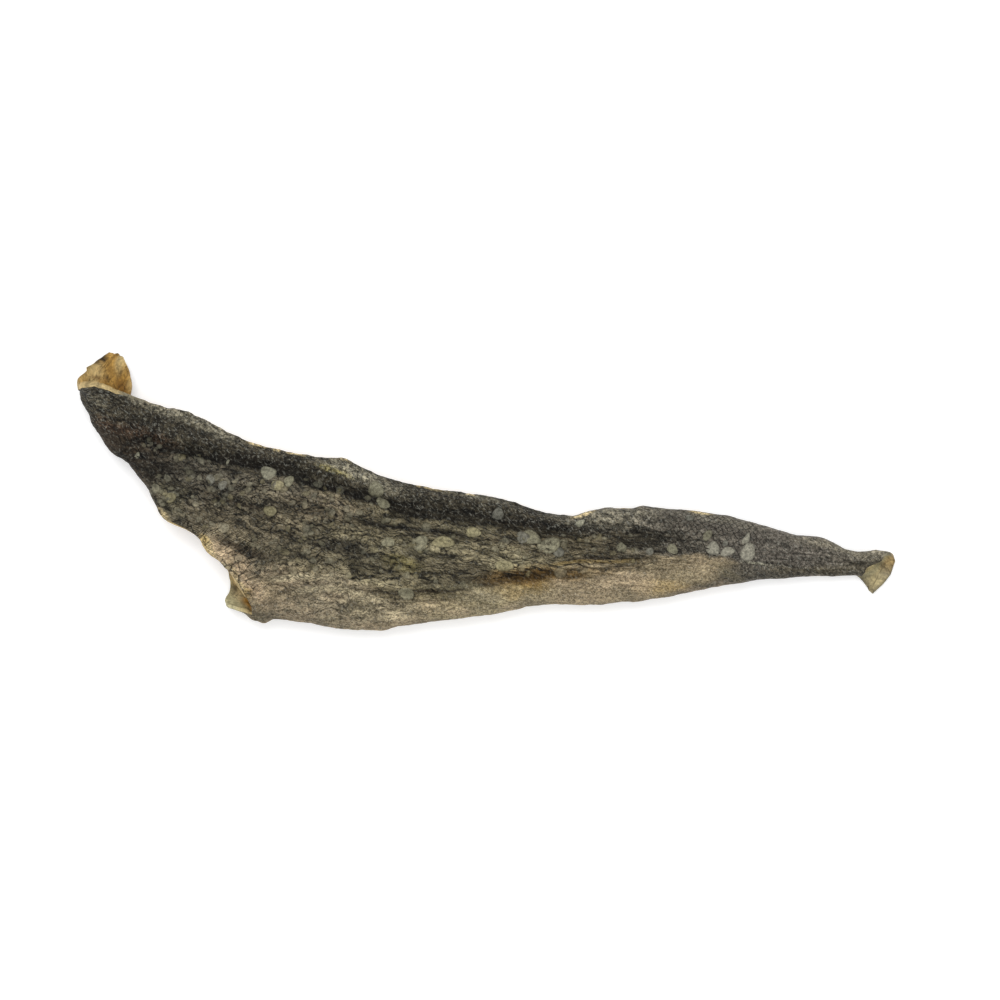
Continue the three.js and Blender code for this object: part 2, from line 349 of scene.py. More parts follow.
    def relief(self, x: Array, y: Array) -> Array:
        """The creases and the long wrinkles, as a height to add at each place (x, y)."""
        folds = sum(crease.height(x, y) for crease in self.creases)
        return folds + sum(wave.height_at(x, y) for wave in self.waves)

    def along_sheet(self, x: Array, across: Array) -> Array:
        """Turns the place across the sheet, in strips, into the distance v along the skin.

        Args:
            x: The place along the fillet.
            across: 0 at the back edge, 2 back crest, 3 belly crest, 4 end of its turn, 5 belly edge.

        Returns:
            The v of each place.
        """
        back, belly = self.crests(x)
        back_whole = self.back_length(x)
        belly_arc = self.belly_arc(x)
        past = across - 3.0
        in_belly = belly_arc * np.clip(past, 0, 1) + Curve(self.belly_hem)(x) * np.clip(past - 1, 0, 1)
        middle = back + (belly - back) * np.clip(across - 2.0, 0, 1)
        return middle + back_whole * np.clip(1 - across / 2.0, 0, 1) - in_belly

    def flow(self, x: Array, v: Array) -> Array:
        """Measures across the sheet so that the measure stays the same along the drawn-out wrinkles.

        Args:
            x: The place along the fillet.
            v: The place across the sheet.

        Returns:
            The measure at each place, in millimetres.
        """
        back, belly = self.crests(x)
        share = np.clip((back - v) / np.maximum(back - belly, 1.0), 0.0, 1.15)
        return v - self.wrinkle_slant * share * (x - self.wrinkle_centre)

    def back_length(self, x: Array) -> Array:
        """The length of sheet from the back's crest to the back edge."""
        arc = Curve(self.back_radius)(x) * np.radians(np.abs(Curve(self.back_turn)(x)))
        return arc + Curve(self.back_hem)(x)

    def belly_arc(self, x: Array) -> Array:
        """The length of sheet in the belly's turn."""
        return Curve(self.belly_radius)(x) * np.radians(Curve(self.belly_turn)(x))

    def open_point(self, x: Array, v: Array) -> Array:
        """Finds the skin's point at a place on the sheet, before its head end is rolled under.

        Args:
            x: The place along the fillet.
            v: The place across the sheet.

        Returns:
            The point at each place.
        """
        back, belly = self.crests(x)
        back_z = Curve(self.back_height)(x)
        belly_z = 2 * Curve(self.belly_radius)(x)
        share = np.clip((back - v) / np.maximum(back - belly, TINY), 0, 1)
        lift = share * share * (3 - 2 * share)
        y = np.clip(v, belly, back)
        z = back_z + (belly_z - back_z) * lift + Curve(self.middle_arch)(x) * np.sin(np.pi * share) ** 2
        out, drop, up = self.bent(Curve(self.back_radius)(x), Curve(self.back_turn)(x), np.maximum(v - back, 0))
        y, z, facing = y + out, z - drop, up
        out, drop, up = self.bent(
            Curve(self.belly_radius)(x), Curve(self.belly_turn)(x), np.maximum(belly - v, 0)
        )
        y, z, facing = y - out, z - drop, np.where(v < belly, up, facing)
        return np.stack([x, y, z + facing * self.relief(x, y)], axis=-1)

    def rolled(self, point: Array) -> Array:
        """Wraps what lies past the slanted head roll round its cone and back under the sheet.

        Args:
            point: The points of the sheet before it is rolled.

        Returns:
            The same points with the head end rolled under.
        """
        axis = np.array(self.roll_end) / math.hypot(*self.roll_end)
        outward = np.array([axis[1], -axis[0]])
        along = point[..., 0] * axis[0] + point[..., 1] * axis[1]
        bow, radius = Curve(self.roll_bow)(along), Curve(self.roll_radius)(along)
        wrapped = point[..., 0] * outward[0] + point[..., 1] * outward[1] - bow + radius
        angle = wrapped / radius
        flap = np.maximum(0.0, wrapped - np.pi * radius) / self.flap_radius
        raised = (point[..., 2] - self.roll_height) * (1 - smooth(angle, np.pi / 2, np.pi))
        rolling = angle < np.pi
        shift = np.where(rolling, (radius + raised) * np.sin(angle), -self.flap_radius * np.sin(flap))
        height = np.where(
            rolling,
            self.roll_height - radius + (radius + raised) * np.cos(angle),
            self.roll_height - 2 * radius + self.flap_radius * (1 - np.cos(flap)),
        )
        side = bow - radius + shift
        wrapped_point = np.stack(
            [along * axis[0] + side * outward[0], along * axis[1] + side * outward[1], height], axis=-1
        )
        return np.where((wrapped > 0)[..., None], wrapped_point, point)

    def skin_point(self, x: Array, v: Array) -> Array:
        """The skin's point at a place on the sheet, with its head end rolled under."""
        return self.rolled(self.open_point(x, v))

    def skin_out(self, x: Array, v: Array) -> Array:
        """Finds the direction out of the skin at a place on the sheet.

        Args:
            x: The place along the fillet.
            v: The place across the sheet.

        Returns:
            A direction of length 1 at each place.
        """
        step = 0.05
        lengthwise = self.skin_point(x + step, v) - self.skin_point(x - step, v)
        crosswise = self.skin_point(x, v + step) - self.skin_point(x, v - step)
        return unit(np.cross(lengthwise, crosswise))

    @staticmethod
    def places(columns: tuple[int, ...]) -> Array:
        """The places across the sheet, from 0 to 5, of the columns that each of the five strips has."""
        strips = [strip + np.arange(count) / count for strip, count in enumerate(columns)]
        return np.concatenate([*strips, [float(len(columns))]])

    def grid(self, rows: int, columns: tuple[int, ...], crowding: float) -> tuple[Array, Array]:
        """The x and v of a grid of points over the whole sheet.

        Args:
            rows: How many steps along the fillet.
            columns: How many columns each strip across has.
            crowding: By what share rows stand closer together near both ends.

        Returns:
            The x and the v of each point, one row for each step.
        """
        step = np.linspace(0, 1, rows + 1)[:, None]
        share = step - crowding * np.sin(2 * np.pi * step) / (2 * np.pi)
        across = self.places(columns)[None, :]
        head, tail = Curve(self.head_cut)(across), Curve(self.tail_cut)(across)
        x = head + (tail - head) * share
        return x, self.along_sheet(x, np.broadcast_to(across, x.shape))

    @staticmethod
    def side_direction(points: Array, axis: int) -> Array:
        """The sheet's direction along one axis of a grid: the nearer neighbour counts for more.

        Args:
            points: The grid of points.
            axis: The grid axis to follow.

        Returns:
            A direction of length 1 for each point.
        """
        moved = np.moveaxis(points, axis, 0)
        steps = np.diff(moved, axis=0)
        lengths = np.linalg.norm(steps, axis=-1, keepdims=True)
        ways = steps / np.maximum(lengths, TINY)
        direction = np.empty_like(moved)
        direction[0], direction[-1] = ways[0], ways[-1]
        direction[1:-1] = ways[:-1] * lengths[1:] + ways[1:] * lengths[:-1]
        return np.moveaxis(unit(direction), 0, axis)

    def inner_face(self, skin: Array, thickness: Array) -> Array:
        """The flesh points under a grid of skin points, with the cut edges standing out past the skin.

        Args:
            skin: The grid of skin points.
            thickness: The sheet's thickness at each point.

        Returns:
            The grid of flesh points.
        """
        lengthwise, crosswise = self.side_direction(skin, 0), self.side_direction(skin, 1)
        inner = skin + unit(np.cross(lengthwise, crosswise)) * thickness[..., None]
        bevel = Curve(self.cut_bevel)(skin[..., 0])[..., None]
        inner[0] -= (lengthwise * bevel)[0]
        inner[-1] += (lengthwise * bevel)[-1]
        inner[:, 0] -= (crosswise * bevel)[:, 0]
        inner[:, -1] += (crosswise * bevel)[:, -1]
        return inner

    def drawing_to_frame(self) -> Array:
        """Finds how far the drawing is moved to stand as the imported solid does.

        Returns:
            The move along x, y and z, in millimetres.
        """
        x, v = self.grid(self.solid_rows, self.solid_columns, self.solid_crowding)
        skin = self.skin_point(x, v)
        inner = self.inner_face(skin, Curve(self.thickness)(skin[..., 0]))
        low = np.minimum(skin.min((0, 1)), inner.min((0, 1)))
        return np.array(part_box("fillet")[0]) / MM - low


@dataclass(frozen=True)
class FineRelief:
    """The sheet's small uneven forms: drawn-out wrinkles, slanting puckers, soft lumps and short creases.

    The size of a form is how far it reaches along x and across the sheet.
    """

    shape: SheetShape = SheetShape()
    seed: int = 5
    groove_size: tuple[float, float] = (13.0, 2.9)
    groove_depth: float = 0.5
    groove_wander: float = 1.7
    fine_groove_size: tuple[float, float] = (6.5, 1.5)
    fine_groove_depth: float = 0.2
    slant_groove_size: tuple[float, float] = (5.5, 1.7)
    slant_way: tuple[float, float] = (0.64, 0.77)
    pucker_size: tuple[float, float] = (4.2, 2.4)
    pucker_height: float = 0.2
    lump_size: tuple[float, float] = (8.0, 5.0)
    lump_height: float = 0.22
    grain_size: tuple[float, float] = (1.5, 1.3)
    grain_height: float = 0.09
    short_creases: tuple[Crease, ...] = tuple(Crease(*row) for row in (
        (((11, -12.8), (16.5, -12.1), (22.5, -11.2)), ((11, 0), (15, 0.6), (20, 0.6), (22.5, 0)), 0.6),
        (((103, -27.2), (120, -26.8), (130, -25.5), (150, -23.6)),
         ((103, 0), (112, 0.6), (142, 0.6), (150, 0)), 0.8),
        (((153, -35.6), (163, -29.4)), ((153, 0), (158, 0.5), (163, 0)), 0.8),
        (((250, -8.8), (262, -7.4), (275, -7)), ((250, 0), (258, 0.5), (270, 0.4), (275, 0)), 0.7),
        (((242, -13), (252, -11), (262, -9.4)), ((242, 0), (250, -0.5), (257, -0.4), (262, 0)), 0.8),
        (((83, -55.4), (94, -51.8), (107, -49.2)), ((83, 0), (90, -0.8), (102, -0.8), (107, 0)), 0.9),
        (((92, -57.6), (104, -53.6), (116, -52.6), (130, -53.4)),
         ((92, 0), (102, -0.7), (118, -0.7), (130, 0)), 1.1),
        (((84, -57.4), (96, -54.2), (108, -51.4)), ((84, 0), (94, 0.5), (104, 0.5), (108, 0)), 0.7),
        (((98, -56.6), (110, -55.6), (126, -57.8)), ((98, 0), (106, 0.5), (118, 0.5), (126, 0)), 0.8),
        (((110, -52), (128, -50), (150, -44.6)), ((110, 0), (124, 0.5), (142, 0.5), (150, 0)), 0.7),
        (((124, -48.4), (140, -44.6), (156, -40.6)), ((124, 0), (134, -0.5), (150, -0.5), (156, 0)), 0.7),
        (((72, -51), (88, -48), (104, -46)), ((72, 0), (84, 0.6), (96, 0.5), (104, 0)), 0.9),
    ))

    def zones(self, x: Array, v: Array) -> tuple[Array, Array]:
        """Finds where the skin is drawn into wrinkles.

        Args:
            x: The place along the fillet.
            v: The place across the sheet.

        Returns:
            How strong the lengthwise wrinkles are, and the slanting ones near the head cut, from 0 to 1.
        """
        back, belly = self.shape.crests(x)
        share = (back - v) / np.maximum(back - belly, 1.0)
        lengthwise = 0.35 + 0.65 * smooth(share, -0.05, 0.12) * smooth(share, 1.2, 0.9)
        lengthwise = lengthwise * (1 - 0.7 * smooth(share, 0.66, 0.8) * smooth(x, 138, 160))
        lengthwise = lengthwise * (1 - 0.6 * smooth(x, 215, 240)) * smooth(x, 2, 30)
        slanting = smooth(share, 0.42, 0.62) * smooth(share, 1.1, 0.9) * smooth(x, 30, 42) * smooth(x, 96, 74)
        return lengthwise * (1 - 0.7 * slanting), slanting

    def grooves(self, x: Array, v: Array) -> tuple[Array, Array]:
        """Draws the broad and the fine wrinkles' grooves.

        Args:
            x: The place along the fillet.
            v: The place across the sheet.

        Returns:
            How deep the broad and the fine grooves are: 1 in a groove, below 0 on the crests between.
        """
        noise = Noise(self.seed)
        across = self.shape.flow(x, v)
        length, pitch = self.groove_size
        wander = self.groove_wander * noise.at(x / length, across / 6.0)
        broad = noise.layered(x / length, (across + wander) / pitch, 2)
        length, pitch = self.fine_groove_size
        fine = noise.layered(x / length + 50, (across + 1.4 * wander) / pitch + 20, 2)
        cos, sin = self.slant_way
        length, pitch = self.slant_groove_size
        slant = noise.layered((x * cos + v * sin) / length + 90, (v * cos - x * sin + wander) / pitch + 60, 2)
        lengthwise, slanting = self.zones(x, v)
        return (
            self.groove(broad, 0.2) * lengthwise,
            self.groove(fine, 0.26) * lengthwise * 0.8 + self.groove(slant, 0.28) * slanting * 1.7,
        )

    @staticmethod
    def groove(value: Array, width: float) -> Array:
        """Turns noise into grooves of a width where it crosses 0, with low crests between them."""
        return np.exp(-((value / width) ** 2)) - 0.35 * smooth(np.abs(value), width, 3.2 * width)

    def height(self, x: Array, v: Array) -> Array:
        """Adds up the small forms.

        Args:
            x: The place along the fillet.
            v: The place across the sheet.

        Returns:
            How far the skin stands out at each place.
        """
        noise = Noise(self.seed + 1)
        broad, fine = self.grooves(x, v)
        tail = 1 - 0.5 * smooth(x, 215, 245)
        length, width = self.lump_size
        height = self.lump_height * noise.layered(x / length + 31, v / width, 2)
        length, width = self.pucker_size
        height = height + self.pucker_height * noise.layered(x / length, v / width + 12, 2) * tail
        length, width = self.grain_size
        height = height + self.grain_height * noise.layered(x / length, v / width + 77, 2) * tail
        height = height - self.groove_depth * broad - self.fine_groove_depth * fine
        return height + sum(crease.height(x, v) for crease in self.short_creases)


class Tone(Enum):
    """The fillet's colours, as red, green and blue on a screen."""

    BACK_CHARCOAL = (44, 40, 31)
    BACK_GREY = (110, 105, 89)
    # Dark lines and spots: the skin's own dark crease lines, with painted shade in the main valley's fold, along
    # creases, in the head flap's notch and in the pit at the belly roll's end.
    SHADE_AND_LINE_BLACK = (20, 17, 12)
    # A dark brown: the head end's own tone, and painted shade in the folds below the belly's ridges.
    BROWN_AND_FOLD_SHADE = (50, 42, 32)
    PURPLE_BROWN = (52, 38, 27)
    MID_SLATE = (76, 71, 60)
    MID_GREY = (92, 85, 69)
    MID_OLIVE = (114, 106, 83)
    MID_DARK = (68, 62, 48)
    MID_BROWN = (104, 95, 74)
    OLIVE_PALE = (130, 123, 97)
    TAIL_GREY = (85, 80, 72)
    TAIL_END = (108, 102, 87)
    TAIL_DARK = (80, 75, 65)
    BELLY_GREY = (138, 127, 105)
    BELLY_CREAM = (154, 142, 109)
    BELLY_SAND = (146, 132, 105)
    PINK_BEIGE = (176, 157, 128)
    GOLD_SAND = (176, 152, 102)
    OCHRE = (136, 114, 64)
    OLIVE_GOLD = (136, 126, 78)
    OLIVE_DEEP = (100, 92, 68)
    AMBER = (112, 86, 44)
    AMBER_DARK = (60, 44, 18)
    AMBER_GOLD = (196, 142, 52)
    EDGE_CREAM = (186, 168, 126)
    FLESH_CREAM = (194, 176, 128)
    RIM_CREAM = (188, 170, 126)
    FLESH_TAN = (166, 130, 66)
    FLESH_ORANGE = (134, 98, 38)
    FLESH_BROWN = (102, 72, 32)
    TAIL_CREAM = (152, 144, 112)
    TAIL_TAN = (160, 134, 86)
    FRINGE_GREEN = (176, 170, 134)
    WRINKLE_SAND = (120, 110, 88)
    MAUVE_BROWN = (98, 87, 71)
    SCALE_GREEN = (128, 125, 104)
    SCALE_DIM = (108, 107, 97)
    SCALE_GREY = (134, 132, 114)
    SCALE_YELLOW = (140, 133, 102)
    SCALE_PALE = (144, 141, 126)
    # Painted highlight on the lit tops of the belly's ridges.
    RIDGE_HIGHLIGHT_BEIGE = (174, 162, 132)
    CRACK_BEIGE = (158, 139, 112)
    # Painted shade where the belly's edge curls down and away from the light.
    BELLY_CURL_SHADE = (110, 101, 82)

    def linear(self) -> Array:
        """The colour as light, for a shader: the usual curve of a screen, undone."""
        screen = np.array(self.value) / 255.0
        return np.where(screen <= 0.04045, screen / 12.92, ((screen + 0.055) / 1.055) ** 2.4)


Stops = tuple[tuple[float, Tone], ...]


@dataclass(frozen=True)
class Band:
    """A soft band of colour along a line (x, v) on the sheet, with its half width and strength along x."""

    tone: Tone
    line: Pairs
    half_width: Pairs
    strength: Pairs
    softness: float = 0.5

    def share(self, x: Array, v: Array) -> Array:
        """Reads the band.

        Args:
            x: The place along the fillet.
            v: The place across the sheet.

        Returns:
            How much of the band's colour shows at each place.
        """
        half = np.maximum(Curve(self.half_width)(x), 0.05)
        away = np.abs(v - Curve(self.line)(x)) / half
        inside = (x >= self.line[0][0]) & (x <= self.line[-1][0])
        return Curve(self.strength)(x) * (1 - smooth(away, 1 - self.softness, 1 + self.softness)) * inside


@dataclass(frozen=True)
class Patch:
    """A soft patch of colour on the sheet: centre (x, v), half length, half width, turn and strength."""

    tone: Tone
    x: float
    v: float
    half_length: float
    half_width: float
    turn: float = 0.0
    strength: float = 0.8
    softness: float = 0.6

    def share(self, x: Array, v: Array) -> Array:
        """Reads the patch.

        Args:
            x: The place along the fillet.
            v: The place across the sheet.

        Returns:
            How much of the patch's colour shows at each place.
        """
        cos, sin = math.cos(math.radians(self.turn)), math.sin(math.radians(self.turn))
        along = ((x - self.x) * cos + (v - self.v) * sin) / self.half_length
        across = ((v - self.v) * cos - (x - self.x) * sin) / self.half_width
        return self.strength * (1 - smooth(np.hypot(along, across), 1 - self.softness, 1 + self.softness))


@dataclass(frozen=True)
class SkinColours:
    """Where the skin's colours lie on the sheet, from the dark back to the pale belly."""

    relief: FineRelief = FineRelief()
    seed: int = 11
    blotch: float = 0.14
    back_blotch: float = 0.18
    streak: float = 0.34
    # Painted shade in the wrinkles' grooves, with painted light on the crests between them.
    groove_painted_shade: float = 0.58
    fine_groove_painted_shade: float = 0.52
    # Painted shade on the belly's curl.
    belly_curl_painted_shade: float = 0.14
    middle: Stops = (
        (-16, Tone.BROWN_AND_FOLD_SHADE), (24, Tone.BROWN_AND_FOLD_SHADE), (46, Tone.MID_SLATE), (75, Tone.MID_GREY),
        (112, Tone.MID_OLIVE), (142, Tone.MID_OLIVE), (170, Tone.MID_BROWN), (192, Tone.MID_BROWN),
        (222, Tone.TAIL_DARK), (246, Tone.TAIL_GREY), (272, Tone.TAIL_GREY), (296, Tone.TAIL_END),
    )
    back: Stops = ((-16, Tone.BACK_CHARCOAL), (180, Tone.BACK_CHARCOAL), (200, Tone.TAIL_DARK), (240, Tone.TAIL_GREY))
    belly: Stops = (
        (64, Tone.PINK_BEIGE), (84, Tone.BELLY_SAND), (104, Tone.BELLY_GREY), (138, Tone.BELLY_SAND),
        (160, Tone.BELLY_CREAM), (188, Tone.BELLY_SAND), (236, Tone.BELLY_SAND), (262, Tone.TAIL_DARK),
    )
    belly_top: Pairs = (
        (62, -46), (72, -53), (80, -55), (94, -50.6), (105, -47.6), (121, -48.4), (142, -44.4),
        (158, -40.4), (184, -32), (195, -25.4), (203, -21.4), (210, -18.4), (221, -13.4), (234, -9.6),
        (247, -11), (256, -19),
    )
    bands: tuple[Band, ...] = tuple(Band(*row) for row in (
        # Painted shade: the first band darkens the main valley's fold.
        (Tone.SHADE_AND_LINE_BLACK,
         ((30, -18.3), (45, -17.9), (58, -17.2), (66, -15.8), (83, -15.2), (92, -17.2), (110, -18),
          (125, -19.4), (147, -17.2), (177, -14.6), (200, -9.6), (230, -7)),
         ((30, 0.6), (50, 1.1), (60, 2.2), (70, 2.8), (83, 2.5), (92, 1.5), (110, 1.8), (140, 2.4),
          (185, 2.6), (230, 1.8)),
         ((22, 0.1), (34, 0.8), (60, 0.95), (150, 0.92), (185, 0.86), (197, 0.5), (215, 0.45), (230, 0))),
        (Tone.MID_DARK, ((44, -29.4), (57, -30.3), (78, -30)), ((44, 0.8), (78, 0.8)),
         ((44, 0.2), (57, 0.8), (78, 0.2))),
        (Tone.AMBER, ((154, -37.6), (165, -34.8), (180, -31), (190, -28), (200, -24), (213, -18.6)),
         ((154, 1.6), (166, 3.4), (182, 3.0), (200, 1.4), (213, 1.0)),
         ((154, 0.2), (166, 0.8), (184, 0.75), (196, 0.35), (213, 0.1)), 0.8),
        (Tone.AMBER_DARK, ((160, -35.6), (168, -33.4), (178, -31.2), (186, -29.2), (196, -26.4)),
         ((160, 0.7), (168, 1.6), (178, 1.8), (188, 1.1), (196, 0.6)),
         ((160, 0.2), (167, 0.9), (181, 0.95), (189, 0.5), (196, 0.1)), 0.6),
        (Tone.MID_DARK, ((62, -46.6), (74, -46), (93, -44.6), (118, -44.2), (150, -38)),
         ((62, 1.6), (93, 2.2), (150, 2)),
         ((62, 0.3), (76, 0.6), (93, 0.45), (150, 0.2))),
        (Tone.SHADE_AND_LINE_BLACK, ((238, -15.4), (250, -14.2), (264, -11.3)), ((238, 1), (250, 2), (264, 1.2)),
         ((238, 0.1), (250, 0.55), (264, 0.15))),
        (Tone.TAIL_DARK, ((220, -32), (230, -26.6), (238, -21.8), (246, -16.4), (253, -12.6)),
         ((220, 1.4), (234, 3), (246, 4.4), (253, 3.4)), ((220, 0), (228, 0.5), (238, 0.85), (253, 0.7)), 0.7),
        (Tone.MID_DARK, ((98, -27), (125, -27.4), (140, -24.8), (155, -21.8), (170, -19.4), (188, -16.8)),
         ((98, 1.6), (125, 2.4), (155, 2.6), (188, 2.2)),
         ((98, 0.1), (112, 0.5), (155, 0.62), (180, 0.6), (188, 0.3)), 0.8),
        # Painted shade: these two bands darken the belly edge where it curls down.
        (Tone.BELLY_CURL_SHADE, ((79, -69), (95, -65.6), (116, -64.8)), ((79, 5), (95, 6), (116, 3)),
         ((79, 0.8), (100, 0.95), (116, 0)), 0.8),
        (Tone.BELLY_CURL_SHADE, ((143, -53), (160, -48.4), (176, -43.4), (190, -38.6)), ((143, 2), (190, 2)),
         ((143, 0), (158, 0.55), (176, 0.5), (190, 0))),
        (Tone.TAIL_END, ((260, 2.6), (276, 3.6), (292, 3)), ((260, 1.6), (292, 2.4)),
         ((260, 0), (274, 0.6), (292, 0.8))),
        (Tone.MID_DARK, ((250, -14), (262, -10.6), (278, -6.2), (291, -3.6)), ((250, 2.4), (291, 2.4)),
         ((250, 0.1), (262, 0.65), (284, 0.9), (291, 0.8)), 0.7),
    ))
    thin_lines: tuple[Band, ...] = tuple(Band(*row) for row in (
        # The black and dark brown lines lie in creases and folds: painted shade over the skin's own dark lines. The
        # ridge beige lines and the pale olive line from x 126 to 158 are painted highlights on ridges.
        (Tone.SHADE_AND_LINE_BLACK,
         ((26, -17.4), (40, -18.2), (52, -17.8), (62, -17.6), (76, -17.2), (88, -18.4), (100, -18.4),
          (112, -19.8), (124, -21), (140, -19.4), (156, -17.8)),
         ((26, 0.4), (60, 0.7), (84, 1.0), (100, 0.8), (156, 0.6)),
         ((26, 0.1), (36, 0.9), (118, 0.85), (130, 0.7), (156, 0.1)), 0.7),
        (Tone.SHADE_AND_LINE_BLACK, ((12, -12.6), (16.5, -12), (22, -11.2)), ((12, 0.35), (22, 0.35)),
         ((12, 0.3), (17, 0.9), (22, 0.2))),
        (Tone.OCHRE, ((176, -27.8), (190, -23.4), (202, -20.4), (213, -17.8)), ((176, 0.6), (213, 0.6)),
         ((176, 0.1), (186, 0.5), (205, 0.4), (213, 0.1))),
        (Tone.BROWN_AND_FOLD_SHADE, ((180, -25), (192, -21.6), (206, -18.6)), ((180, 0.6), (206, 0.6)),
         ((180, 0.2), (192, 0.7), (206, 0.1))),
        (Tone.OLIVE_PALE, ((126, -48.6), (142, -44.8), (158, -40.6)), ((126, 0.8), (158, 1.1)),
         ((126, 0.3), (142, 0.7), (158, 0.3))),
        (Tone.SCALE_GREY, ((247, -9.8), (253, -9.2), (260, -8.6)), ((247, 0.4), (260, 0.4)),
         ((247, 0.2), (253, 0.6), (260, 0.1))),
        (Tone.SHADE_AND_LINE_BLACK, ((251, -8.6), (262, -7.4), (275, -7)), ((251, 0.4), (275, 0.4)),
         ((251, 0.2), (262, 0.7), (275, 0.1))),
        (Tone.SHADE_AND_LINE_BLACK, ((103, -27.4), (112, -27.2), (120, -26.9), (130, -25.6), (150, -23.6)),
         ((103, 0.5), (120, 0.8), (150, 0.6)),
         ((103, 0.2), (112, 0.85), (140, 0.85), (150, 0.3))),
        (Tone.RIDGE_HIGHLIGHT_BEIGE, ((83, -55.4), (94, -51.8), (107, -49.2)), ((83, 1.1), (107, 1.0)),
         ((83, 0.3), (92, 0.95), (102, 0.95), (107, 0.3))),
        (Tone.RIDGE_HIGHLIGHT_BEIGE, ((92, -57.6), (104, -53.6), (116, -52.6), (128, -53.4)), ((92, 1.2), (128, 1.1)),
         ((92, 0.2), (104, 0.85), (118, 0.85), (128, 0.2))),
        (Tone.BROWN_AND_FOLD_SHADE, ((84, -57), (96, -54), (108, -51.4)), ((84, 0.5), (108, 0.5)),
         ((84, 0.2), (96, 0.7), (108, 0.2))),
        (Tone.BROWN_AND_FOLD_SHADE, ((98, -56.4), (110, -55.4), (124, -57.8)), ((98, 0.5), (124, 0.5)),
         ((98, 0.1), (108, 0.6), (124, 0.1))),
        (Tone.BROWN_AND_FOLD_SHADE, ((110, -52), (128, -49.9), (150, -44.6)), ((110, 0.5), (150, 0.5)),
         ((110, 0.1), (126, 0.6), (150, 0.2))),
        (Tone.BROWN_AND_FOLD_SHADE, ((60, -44.4), (68, -46), (77, -48), (87, -47)), ((60, 0.8), (70, 1.4), (87, 1)),
         ((60, 0.1), (66, 0.7), (78, 0.7), (87, 0.1)), 0.8),
        (Tone.BROWN_AND_FOLD_SHADE, ((46, -29.4), (57, -30.6), (68, -31.6), (80, -31.2)), ((46, 0.4), (80, 0.4)),
         ((46, 0.2), (57, 0.85), (70, 0.8), (80, 0.2))),
        (Tone.BROWN_AND_FOLD_SHADE, ((124, -48), (140, -46.4), (156, -42.2)), ((124, 0.5), (156, 0.5)),
         ((124, 0.2), (136, 0.7), (150, 0.7), (156, 0.2))),
        (Tone.BROWN_AND_FOLD_SHADE, ((150, -23.4), (164, -22.6), (176, -23.8), (190, -21.4)), ((150, 0.4), (190, 0.4)),
         ((150, 0.2), (162, 0.6), (180, 0.6), (190, 0.2))),
    ))
